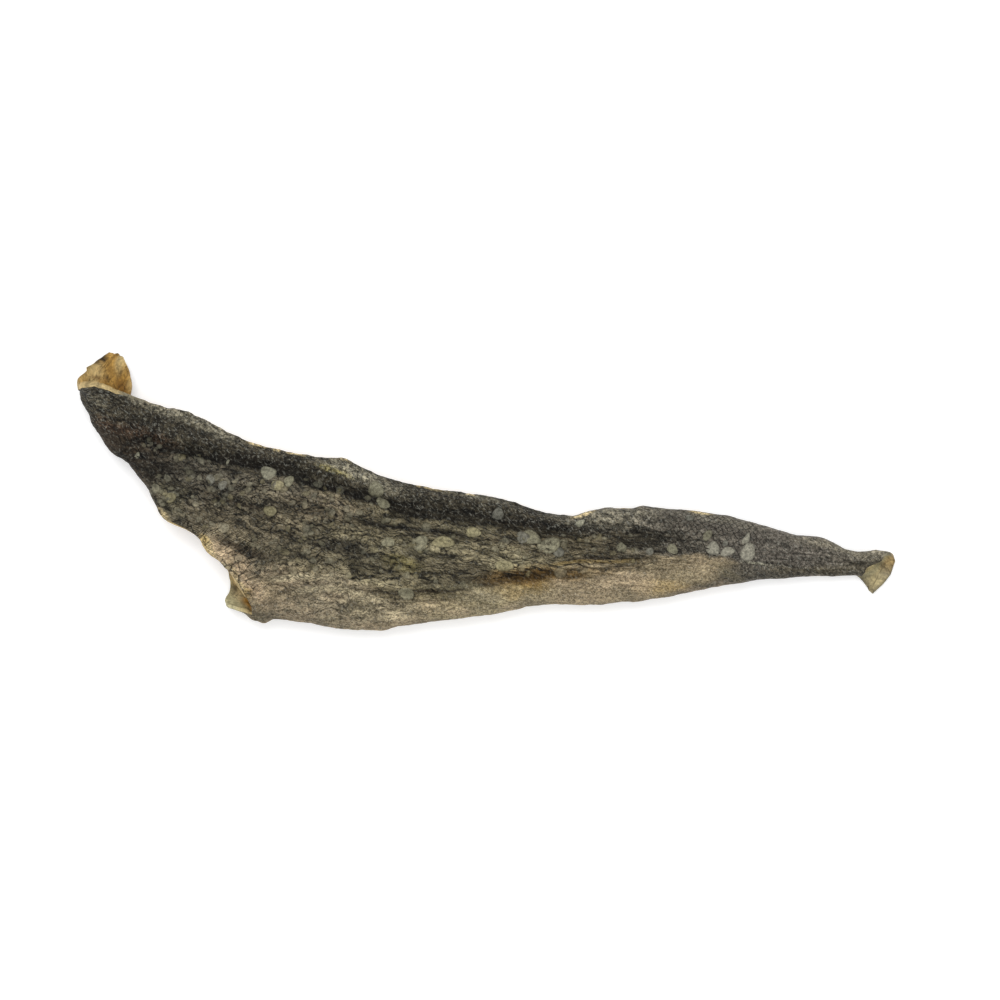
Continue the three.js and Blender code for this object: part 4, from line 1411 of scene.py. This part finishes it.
@dataclass
class SheetMesh:
    """Arrays of a mesh in the making.

    These are its points and its triangles, then for each triangle's corners the place on the sheet, the place
    along the wrinkles, the colour, the marks, the folds and the place on the baked picture, and for each
    triangle its material slot.
    """

    points: Array
    faces: Array
    places: Array
    flow: Array
    tones: Array
    marks: Array
    folds: Array
    bake: Array
    slots: Array

    def build(self, name: str, materials: list[bpy.types.Material], shift: Array) -> bpy.types.Object:
        """Makes the Blender object, shaded as one smooth surface.

        Args:
            name: The piece's name.
            materials: Its materials, in slot order.
            shift: How far the drawing is moved, in millimetres.

        Returns:
            The object, linked to the scene.
        """
        mesh = bpy.data.meshes.new(name)
        count, corners = len(self.faces), self.faces.shape[1]
        mesh.vertices.add(len(self.points))
        mesh.vertices.foreach_set("co", ((self.points + shift) * MM).astype(np.float32).ravel())
        mesh.loops.add(count * corners)
        mesh.loops.foreach_set("vertex_index", self.faces.astype(np.int32).ravel())
        mesh.polygons.add(count)
        mesh.polygons.foreach_set("loop_start", np.arange(0, count * corners, corners, dtype=np.int32))
        mesh.polygons.foreach_set("material_index", self.slots.astype(np.int32))
        mesh.polygons.foreach_set("use_smooth", np.ones(count, bool))
        mesh.update(calc_edges=True)
        for label, values in (("Sheet", self.places), ("Flow", self.flow), ("OFBake", self.bake)):
            layer = mesh.uv_layers.new(name=label)
            layer.data.foreach_set("uv", values.astype(np.float32).ravel())
        opaque = np.ones((count * corners, 1))
        tones = np.concatenate([self.tones.reshape(-1, 3), opaque], axis=1)
        marks, folds = self.marks.reshape(-1, 4), self.folds.reshape(-1, 4)
        for label, values in (("Tone", tones), ("Marks", marks), ("Folds", folds)):
            layer = mesh.color_attributes.new(label, "FLOAT_COLOR", "CORNER")
            layer.data.foreach_set("color", values.astype(np.float32).ravel())
        mesh.validate()
        for material in materials:
            mesh.materials.append(material)
        piece = bpy.data.objects.new(name, mesh)
        bpy.context.scene.collection.objects.link(piece)
        return piece


@dataclass(frozen=True)
class Fillet:
    """The fillet: one closed sheet with its skin, its cut edges and its flesh side."""

    shape: SheetShape = SheetShape()
    relief: FineRelief = FineRelief()
    skin_colours: SkinColours = SkinColours()
    flesh_colours: FleshColours = FleshColours()
    rows: int = 520
    columns: tuple[int, ...] = (6, 12, 82, 30, 16)
    crowding: float = 0.2
    cut_seed: int = 91
    ragged: float = 0.16
    tail_ragged: float = 2.4
    rim_seed: int = 61
    rim_bulge: float = 0.06
    rim_rough: float = 0.26
    flesh_seed: int = 37
    flesh_wave: float = 0.14
    crumple_seed: int = 38
    crumple: float = 0.16
    rim_cut: float = 0.75
    flesh_cut: float = 0.55
    bake_step: float = 0.0037
    bake_split: float = 145.0
    bake_overlap: float = 2.0
    bake_start: float = -20.0
    bake_low: tuple[float, float] = (-100.0, -82.0)
    bake_row: tuple[float, float] = (0.005, 0.385)
    bake_flesh: tuple[float, float] = (0.33, 0.8)

    def surfaces(self) -> tuple[Array, Array, Array, Array]:
        """Makes the fine grid over the sheet, with ragged edges.

        Returns:
            The x and v of the grid, and its skin and flesh points.
        """
        x, v = self.shape.grid(self.rows, self.columns, self.crowding)
        noise = Noise(self.cut_seed)
        step = np.linspace(0, 1, self.rows + 1)[:, None]
        head_share, tail_share = smooth(step, 0.02, 0.0), smooth(step, 0.98, 1.0)
        head_rag, tail_rag = noise.layered(v / 1.7, v * 0, 2), noise.layered(v / 1.5, v * 0 + 9, 2)
        x = x + self.ragged * (head_share * head_rag + self.tail_ragged * tail_share * tail_rag)
        across = np.linspace(0, 1, x.shape[1])[None, :]
        back_share, belly_share = smooth(across, 0.03, 0.0), smooth(across, 0.97, 1.0)
        v = v + self.ragged * back_share * noise.layered(x / 2.1, x * 0 + 4, 3)
        v = v + self.ragged * belly_share * noise.layered(x / 2.6, x * 0 + 14, 3)
        base = self.shape.skin_point(x, v)
        out = self.shape.skin_out(x, v)
        fine = self.relief.height(x, v)[..., None] * (0.35 + 0.65 * smooth(out[..., 2:], -0.6, 0.2))
        thickness = Curve(self.shape.thickness)(base[..., 0])
        inner = self.shape.inner_face(base, thickness) + out * fine * 0.8
        flesh_noise = Noise(self.flesh_seed).layered(x / 3.0, v / 2.2, 3)[..., None]
        inner = inner - out * self.flesh_wave * flesh_noise
        crumpled = Noise(self.crumple_seed).layered(x / 1.7, v / 1.5, 2)[..., None]
        inner = inner - out * self.crumple * crumpled * smooth(x, 22, 12)[..., None]
        return x, v, base + out * fine, inner

    def bake_place(self, x: Array, v: Array, flesh: bool) -> Array:
        """Where each face corner lies on the baked picture: two rows of skin, then the flesh at half size.

        Args:
            x: The x of the corners, one row a face.
            v: The v of the corners, one row a face.
            flesh: Whether the faces are on the flesh side.

        Returns:
            The picture coordinates of each corner.
        """
        second = (x.mean(1) > self.bake_split)[:, None]
        step = self.bake_step / 2 if flesh else self.bake_step
        u = (x - np.where(second, self.bake_split - self.bake_overlap, self.bake_start)) * step
        w = (v - np.where(second, self.bake_low[1], self.bake_low[0])) * step
        if flesh:
            return np.stack([u + np.where(second, self.bake_flesh[0], 0.0), w + self.bake_flesh[1]], axis=-1)
        return np.stack([u, w + np.where(second, self.bake_row[1], self.bake_row[0])], axis=-1)

    def mesh(self) -> SheetMesh:
        """Joins the skin, the cut edges and the flesh side into one closed mesh.

        Returns:
            The mesh arrays.
        """
        x, v, skin, inner = self.surfaces()
        rows, columns = x.shape
        index = np.arange(rows * columns).reshape(rows, columns)
        flesh_rows, flesh_columns = np.arange(0, rows, 2), np.arange(0, columns, 2)
        flesh_x, flesh_v = x[np.ix_(flesh_rows, flesh_columns)], v[np.ix_(flesh_rows, flesh_columns)]
        flesh_points = inner[np.ix_(flesh_rows, flesh_columns)]
        flesh_index = rows * columns + np.arange(flesh_x.size).reshape(flesh_x.shape)
        ring, ring_x, ring_v = self.rim(x, v, skin, inner)
        points = np.concatenate([skin.reshape(-1, 3), flesh_points.reshape(-1, 3), ring])
        all_x = np.concatenate([x.ravel(), flesh_x.ravel(), ring_x])
        all_v = np.concatenate([v.ravel(), flesh_v.ravel(), ring_v])
        skin_faces = self.quads(index, False)
        flesh_faces = self.quads(flesh_index, True)
        rim_faces = self.rim_faces(self.outline(index), self.outline(flesh_index), rows * columns + flesh_x.size)
        faces = np.concatenate([skin_faces, flesh_faces, rim_faces])
        slots = np.concatenate([np.zeros(len(skin_faces)), np.ones(len(flesh_faces) + len(rim_faces))])
        corner_x, corner_v = all_x[faces], all_v[faces]
        skin_tone, skin_marks, skin_folds = self.skin_colours.paint(x, v)
        cut = np.zeros(len(points))
        cut[rows * columns + flesh_x.size:] = self.rim_cut
        cut[self.outline(flesh_index)] = self.flesh_cut
        cut[self.outline(index)] = self.rim_cut
        tones = self.flesh_colours.paint(all_x, all_v, cut)[faces]
        marks, folds = np.zeros((*faces.shape, 4)), np.zeros((*faces.shape, 4))
        tones[: len(skin_faces)] = skin_tone.reshape(-1, 3)[skin_faces]
        marks[: len(skin_faces)] = skin_marks.reshape(-1, 4)[skin_faces]
        folds[: len(skin_faces)] = skin_folds.reshape(-1, 4)[skin_faces]
        places = np.stack([corner_x, corner_v], axis=-1) / MM_PER_CM
        flow = np.stack([corner_x, self.shape.flow(corner_x, corner_v)], axis=-1) / MM_PER_CM
        last = len(skin_faces)
        bake = np.concatenate([
            self.bake_place(corner_x[:last], corner_v[:last], False),
            self.bake_place(corner_x[last:], corner_v[last:], True),
        ])
        return SheetMesh(points, faces, places, flow, tones, marks, folds, bake, slots)

    def rim(self, x: Array, v: Array, skin: Array, inner: Array) -> tuple[Array, ...]:
        """Makes the ring of points that rounds the cut edge between the skin and the flesh.

        Args:
            x: The x of the grid.
            v: The v of the grid.
            skin: Its skin points.
            inner: Its flesh points.

        Returns:
            The ring's points, and the x and v whose colour and grain they take.
        """
        edge = self.outline(np.arange(x.size).reshape(x.shape))
        outer, under = skin.reshape(-1, 3)[edge], inner.reshape(-1, 3)[edge]
        rough = Noise(self.rim_seed).layered(np.arange(len(edge)) / 3.0, np.zeros(len(edge)), 3)[:, None]
        along = unit(np.roll(outer, -1, axis=0) - np.roll(outer, 1, axis=0))
        bulge = unit(np.cross(unit(under - outer), along))
        ring = (outer + under) / 2 + bulge * (self.rim_bulge + self.rim_rough * rough)
        return ring, x.ravel()[edge] + 0.7, v.ravel()[edge] + 0.7

    @staticmethod
    def outline(index: Array) -> Array:
        """The indices round a grid's edge, in turn."""
        return np.concatenate([index[0, :-1], index[:-1, -1], index[-1, :0:-1], index[:0:-1, 0]])

    @staticmethod
    def quads(index: Array, turned: bool) -> Array:
        """The triangles of a grid of points.

        Args:
            index: The grid of point indices.
            turned: Whether the faces look the other way.

        Returns:
            The three corners of each triangle.
        """
        a, b, c, d = index[:-1, :-1], index[:-1, 1:], index[1:, 1:], index[1:, :-1]
        corners = (a, d, c, a, c, b) if turned else (a, b, c, a, c, d)
        return np.stack([corner.ravel() for corner in corners], axis=1).reshape(-1, 3)

    @staticmethod
    def rim_faces(skin_edge: Array, flesh_edge: Array, ring_start: int) -> Array:
        """The triangles from the skin's edge over the ring to the flesh's edge.

        Args:
            skin_edge: The point indices round the skin's edge.
            flesh_edge: The point indices round the flesh's edge, half as many.
            ring_start: The index of the ring's first point.

        Returns:
            The three corners of each triangle.
        """
        ring = ring_start + np.arange(len(skin_edge))
        skin_next, ring_next = np.roll(skin_edge, -1), np.roll(ring, -1)
        upper = np.stack([skin_edge, ring, ring_next, skin_edge, ring_next, skin_next], axis=1).reshape(-1, 3)
        first, middle, last = ring[0::2], ring[1::2], np.roll(ring[0::2], -1)
        flesh_next = np.roll(flesh_edge, -1)
        lower = np.stack(
            [first, flesh_edge, middle, middle, flesh_edge, flesh_next, middle, flesh_next, last], axis=1
        ).reshape(-1, 3)
        return np.concatenate([upper, lower])

    def build(self, shift: Array) -> bpy.types.Object:
        """Builds and dresses the fillet.

        Args:
            shift: How far the drawing is moved, in millimetres.

        Returns:
            The piece.
        """
        mesh = self.mesh()
        mesh.points[:, 2] = np.maximum(mesh.points[:, 2], -shift[2])
        piece = mesh.build("fillet_dressed", [SkinFinish().material(), FleshFinish().material()], shift)
        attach(piece, "root")
        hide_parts("fillet")
        return piece


@dataclass(frozen=True)
class ScalePlace:
    """One loose scale: its place, length and width, its turn in degrees, its colour and how pointed it is."""

    x: float
    v: float
    length: float
    width: float
    turn: float
    tone: Tone
    point: float = 0.25


@dataclass(frozen=True)
class Scales:
    """Scales that came loose and dried on the skin, and the small ones that stand up from it."""

    shape: SheetShape = SheetShape()
    relief: FineRelief = FineRelief()
    seed: int = 77
    thickness: float = 0.1
    unevenness: float = 0.1
    curl: float = 0.05
    rim_points: int = 16
    rings: int = 4
    lift: float = 0.25
    tint: float = 0.8
    small_count: int = 200
    small_draw: int = 400
    small_rim_points: int = 8
    small_rings: int = 2
    small_lift: float = 0.08
    small_tint: float = 0.32
    small_tones: tuple[Tone, ...] = (Tone.SCALE_GREY, Tone.SCALE_GREEN, Tone.SCALE_YELLOW, Tone.SCALE_GREY)
    bake_radius: float = 0.42
    loose: tuple[ScalePlace, ...] = tuple(ScalePlace(*row) for row in (
        (113.4, -14.8, 6.2, 5.6, 10, Tone.SCALE_GREEN),
        (117.1, -19.1, 5.2, 4.4, -30, Tone.SCALE_GREEN),
        (158.2, -13.4, 5.2, 3.8, 75, Tone.SCALE_DIM),
        (171.7, -18.7, 6.6, 5.4, -20, Tone.SCALE_GREEN),
        (168.8, -19.6, 4.6, 4.2, 30, Tone.SCALE_DIM),
        (178.6, -20.2, 9.4, 5.0, 18, Tone.SCALE_GREEN),
        (182.6, -21.8, 4.4, 3.0, 30, Tone.SCALE_DIM),
        (132.6, -48.7, 6.2, 4.6, 10, Tone.SCALE_GREEN),
        (133.4, -30.0, 6.4, 4.8, 35, Tone.SCALE_GREEN),
        (141.3, -27.8, 8.6, 4.0, 8, Tone.SCALE_YELLOW),
        (122.1, -32.4, 4.6, 4.0, 0, Tone.SCALE_GREEN),
        (74.3, -18.2, 5.4, 5.0, 20, Tone.SCALE_GREY, 0.5),
        (78.8, -21.6, 4.6, 3.6, -10, Tone.SCALE_YELLOW),
        (82.4, -19.4, 4.0, 3.4, 40, Tone.SCALE_GREEN),
        (59.5, -26.2, 3.6, 3.0, 50, Tone.SCALE_DIM),
        (54.8, -25.1, 3.4, 3.0, 0, Tone.SCALE_DIM),
        (59.4, -17.7, 1.8, 1.2, 70, Tone.SCALE_GREY),
        (27.3, -23.1, 2.6, 1.8, 80, Tone.SCALE_GREY),
        (42.4, -35.0, 4.6, 3.4, 60, Tone.SCALE_YELLOW),
        (78.2, -31.3, 4.6, 4.0, 0, Tone.SCALE_YELLOW),
        (204.2, -15.0, 4.2, 3.6, 90, Tone.SCALE_GREEN),
        (222.1, -11.1, 4.2, 3.4, 0, Tone.SCALE_GREEN),
        (214.4, -13.9, 3.2, 2.8, 0, Tone.SCALE_DIM),
        (225.6, 1.4, 3.4, 2.4, 30, Tone.SCALE_DIM),
        (233.2, -3.6, 4.8, 2.8, 60, Tone.SCALE_GREEN, 0.6),
        (236.2, -7.4, 5.4, 4.4, -35, Tone.SCALE_PALE, 0.4),
        (241.4, -7.6, 5.0, 3.4, 25, Tone.SCALE_PALE, 0.4),
        (240.2, -4.8, 3.0, 1.8, 80, Tone.SCALE_DIM, 0.6),
        (247.2, -1.8, 4.4, 2.4, 84, Tone.SCALE_PALE, 0.9),
        (248.8, -6.2, 6.4, 5.8, 70, Tone.SCALE_PALE, 0.4),
        (187.7, -9.6, 3.4, 2.8, 40, Tone.SCALE_GREY),
        (151.0, -21.8, 6.0, 3.4, 12, Tone.SCALE_YELLOW),
        (164.5, -31.0, 6.4, 4.4, 0, Tone.SCALE_YELLOW),
    ))

    def small(self) -> list[ScalePlace]:
        """Draws the small scales that still lie in patches on the middle of the skin.

        Returns:
            Their places.
        """
        random = np.random.default_rng(self.seed)
        colours, patchy = SkinColours(), Noise(self.seed + 3)
        found: list[ScalePlace] = []
        while len(found) < self.small_count:
            x, v = random.uniform(12, 240, self.small_draw), random.uniform(-56, -6, self.small_draw)
            back, belly = self.shape.crests(x)
            cut = Curve(self.shape.head_cut)(2 + (back - v) / (back - belly))
            _, marks, _ = colours.paint(x, v)
            patch = smooth(patchy.layered(x / 12.0, v / 6.0, 2), -0.35, 0.5)
            chance = (marks[:, 0] * 1.2 + marks[:, 1] * 0.1) * patch
            inside = (v < back) & (v > belly) & (x > cut + 3)
            for at in np.flatnonzero((random.uniform(0, 1, self.small_draw) < chance) & inside):
                length = random.uniform(1.3, 2.4) + random.exponential(0.5)
                found.append(ScalePlace(
                    float(x[at]), float(v[at]), length, length * random.uniform(0.6, 0.9),
                    random.normal(8, 30), self.small_tones[random.integers(0, 4)], random.uniform(0.1, 0.5),
                ))
        return found[: self.small_count]

    def mesh(self, places: list[ScalePlace], rim: int, rings: int, lift: float, tint: float) -> SheetMesh:
        """Makes thin closed scales that lie along the skin.

        Args:
            places: The scales.
            rim: How many points each has round its edge.
            rings: How many rings of points it has between its middle and its edge.
            lift: How far its free end stands up.
            tint: How much of a scale's own colour shows; the rest is the skin's, seen through it.

        Returns:
            The mesh arrays.
        """
        random = np.random.default_rng(self.seed + 1)
        angle = np.linspace(0, 2 * np.pi, rim, endpoint=False)
        shares = np.arange(1, rings + 1) / rings
        count = len(places)
        centre_x, centre_v, length, width, degrees, point = np.array([
            (place.x, place.v, place.length, place.width, place.turn, place.point) for place in places
        ]).T[:, :, None]
        starts = random.uniform(0, 2 * np.pi, (2, count, 1))
        uneven = 1 + self.unevenness * (np.cos(2 * angle + starts[0]) + 0.8 * np.cos(3 * angle + starts[1]))
        shaped = 1 + point * 0.35 * (np.cos(angle) ** 3)[None, :]
        along = (np.cos(angle)[None, :] * shaped * uneven * length / 2)[:, None, :] * shares[None, :, None]
        side = (np.sin(angle)[None, :] * uneven * width / 2)[:, None, :] * shares[None, :, None]
        along = np.concatenate([np.zeros((count, 1)), along.reshape(count, -1)], axis=1)
        side = np.concatenate([np.zeros((count, 1)), side.reshape(count, -1)], axis=1)
        turn = np.radians(degrees)
        x = centre_x + along * np.cos(turn) - side * np.sin(turn)
        v = centre_v + along * np.sin(turn) + side * np.cos(turn)
        base = self.shape.skin_point(x, v)
        out = self.shape.skin_out(x, v)
        radius = np.concatenate([np.zeros(1), np.repeat(shares, rim)])[None, :]
        free = smooth(along / length, -0.3, 0.5)
        tilt = lift * (0.35 + random.uniform(0, 1, (count, 1))) * free
        curl = self.curl * random.normal(0, 1, (count, 1)) * radius**2
        rise = (self.relief.height(x, v) + self.thickness + tilt + curl)[..., None]
        thick = (self.thickness * (1 - 0.5 * radius**2))[..., None]
        top, under = base + out * rise, base + out * (rise - thick)
        per = 1 + rings * rim
        points = np.concatenate([top, under], axis=1).reshape(-1, 3)
        faces = self.scale_faces(rim, rings, per)
        whole = (faces[None] + (np.arange(count) * 2 * per)[:, None, None]).reshape(-1, 3)
        tone = np.array([place.tone.linear() for place in places])
        skin, _, _ = SkinColours().paint(x, v)
        shade = (1 + 0.1 * random.normal(0, 1, (count, 1, 1))).clip(0.7, 1.3)
        seen = (skin + (tone[:, None, :] - skin) * tint * (1 - 0.2 * radius**2)[..., None]) * shade
        tones = np.concatenate([seen, seen], axis=1).reshape(-1, 3)
        both_x, both_v = np.concatenate([x, x], axis=1).ravel(), np.concatenate([v, v], axis=1).ravel()
        rings_at = np.tile(np.concatenate([radius, radius], axis=1), (count, 1)).ravel()
        marks = np.stack([rings_at, rings_at * 0, rings_at * 0, rings_at * 0 + 1], axis=-1)
        places_at = np.stack([both_x, both_v], axis=-1)[whole] / MM_PER_CM
        bake = self.bake_places(count, rim, rings)[whole]
        folds = np.zeros((*whole.shape, 4))
        slots = np.zeros(len(whole))
        return SheetMesh(points, whole, places_at, places_at, tones[whole], marks[whole], folds, bake, slots)

    @staticmethod
    def scale_faces(rim: int, rings: int, per: int) -> Array:
        """Makes the triangles of one scale: a fan and rings on top, the same below, joined at the rim.

        Args:
            rim: How many points it has round its edge.
            rings: How many rings of points it has.
            per: How many points its top has.

        Returns:
            The three corners of each triangle.
        """
        faces: list[tuple[int, int, int]] = []
        for k in range(rim):
            following = (k + 1) % rim
            faces.append((0, 1 + k, 1 + following))
            for ring in range(rings - 1):
                a, b = 1 + ring * rim + k, 1 + ring * rim + following
                faces.extend([(a, a + rim, b + rim), (a, b + rim, b)])
        under = [(a + per, c + per, b + per) for a, b, c in faces]
        start = 1 + (rings - 1) * rim
        edge: list[tuple[int, int, int]] = []
        for k in range(rim):
            a, b = start + k, start + (k + 1) % rim
            edge.extend([(a, a + per, b + per), (a, b + per, b)])
        return np.array([*faces, *under, *edge])

    def bake_places(self, count: int, rim: int, rings: int) -> Array:
        """Gives each scale its own square on the baked picture.

        Args:
            count: How many scales there are.
            rim: How many points each has round its edge.
            rings: How many rings of points it has.

        Returns:
            The picture coordinates of each point.
        """
        side = math.ceil(math.sqrt(count))
        angle = np.linspace(0, 2 * np.pi, rim, endpoint=False)
        shares = np.repeat(np.arange(1, rings + 1) / rings, rim)
        u = np.concatenate([[0.5], 0.5 + self.bake_radius * shares * np.tile(np.cos(angle), rings)])
        w = np.concatenate([[0.5], 0.5 + self.bake_radius * shares * np.tile(np.sin(angle), rings)])
        local = np.tile(np.stack([u, w], axis=-1), (2, 1))
        cell = np.stack([np.arange(count) % side, np.arange(count) // side], axis=-1)
        return ((cell[:, None, :] + local[None]) / side).reshape(-1, 2)

    def build(self, shift: Array) -> list[bpy.types.Object]:
        """Builds and dresses the loose scales and the small ones.

        Args:
            shift: How far the drawing is moved, in millimetres.

        Returns:
            The two pieces.
        """
        finish = [ScaleFinish().material()]
        loose = self.mesh(list(self.loose), self.rim_points, self.rings, self.lift, self.tint)
        small = self.mesh(
            self.small(), self.small_rim_points, self.small_rings, self.small_lift, self.small_tint
        )
        made = [loose.build("loose_scales", finish, shift), small.build("small_scales", finish, shift)]
        for piece in made:
            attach(piece, "root")
        return made


@dataclass(frozen=True)
class Lamp:
    """A square soft lamp: where it hangs and the length of its side, in metres, and its power in watts."""

    name: str
    place: tuple[float, float, float]
    size: float
    power: float

    def build(self) -> None:
        """Hangs the lamp so that it looks at the fillet."""
        light = bpy.data.lights.new(self.name, "AREA")
        light.size, light.energy = self.size, self.power
        holder = bpy.data.objects.new(self.name, light)
        holder.location = self.place
        holder.rotation_euler = Vector(self.place).to_track_quat("Z", "Y").to_euler()
        bpy.context.scene.collection.objects.link(holder)


@dataclass(frozen=True)
class Studio:
    """A pale floor, soft light from above and a camera that looks straight down."""

    view_width: float = 0.36
    lens: float = 200.0
    sensor: float = 36.0
    aim: tuple[float, float] = (157.8, -8.3)
    aim_height: float = 8.0
    image_turn: float = 13.4
    floor_size: float = 6.0
    floor_drop: float = 0.0001
    floor_light: float = 0.85
    floor_glow: float = 0.3
    room_light: float = 0.82
    lamps: tuple[Lamp, ...] = (Lamp("key", (-0.55, 0.75, 1.5), 1.0, 12.0), Lamp("fill", (0.9, -0.6, 1.4), 1.6, 5.0))

    def build(self, shift: Array) -> None:
        """Builds the floor, the lights and the camera.

        Args:
            shift: How far the drawing is moved, in millimetres.
        """
        self.floor()
        for lamp in self.lamps:
            lamp.build()
        self.surroundings()
        self.camera(shift)

    def floor(self) -> None:
        """Lays the floor just under the fillet."""
        half = self.floor_size / 2
        mesh = bpy.data.meshes.new("floor")
        mesh.from_pydata([(-half, -half, 0), (half, -half, 0), (half, half, 0), (-half, half, 0)], [], [(0, 1, 2, 3)])
        nodes = Nodes("pale_floor")
        nodes.set(Base_Color=(*[self.floor_light] * 3, 1), Roughness=0.9, Specular_IOR_Level=0.1)
        nodes.set(Emission_Color=(1, 1, 1, 1), Emission_Strength=self.floor_glow)
        mesh.materials.append(nodes.material)
        floor = bpy.data.objects.new("floor", mesh)
        floor.location.z = -self.floor_drop
        bpy.context.scene.collection.objects.link(floor)

    def surroundings(self) -> None:
        """Fills the room with even pale light."""
        world = bpy.data.worlds.new("room")
        world.use_nodes = True
        background = world.node_tree.nodes["Background"]
        background.inputs["Color"].default_value = (1, 1, 1, 1)
        background.inputs["Strength"].default_value = self.room_light
        bpy.context.scene.world = world
        bpy.context.scene.view_settings.view_transform = "Standard"

    def camera(self, shift: Array) -> None:
        """Sets the camera straight above, turned as the picture is.

        Args:
            shift: How far the drawing is moved, in millimetres.
        """
        data = bpy.data.cameras.new("camera")
        data.lens, data.sensor_width = self.lens, self.sensor
        camera = bpy.data.objects.new("camera", data)
        aim = (np.array([*self.aim, self.aim_height]) + shift) * MM
        distance = self.view_width * self.lens / self.sensor
        camera.location = (aim[0], aim[1], aim[2] + distance)
        camera.rotation_euler = (0, 0, math.radians(self.image_turn))
        bpy.context.scene.collection.objects.link(camera)
        bpy.context.scene.camera = camera


def main() -> None:
    """Builds the fillet, its scales and the studio, and reports each piece."""
    logging.basicConfig(level=logging.INFO, format="%(name)s: %(message)s")
    shape = SheetShape()
    shift = shape.drawing_to_frame()
    LOG.info("the drawing is moved by %.2f, %.2f, %.2f mm", *shift)
    fillet = Fillet(shape=shape).build(shift)
    LOG.info("%s has %d faces", fillet.name, len(fillet.data.polygons))
    for piece in Scales(shape=shape).build(shift):
        LOG.info("%s has %d faces", piece.name, len(piece.data.polygons))
    Studio().build(shift)
    LOG.info("the studio is set")


if __name__ == "__main__":
    main()
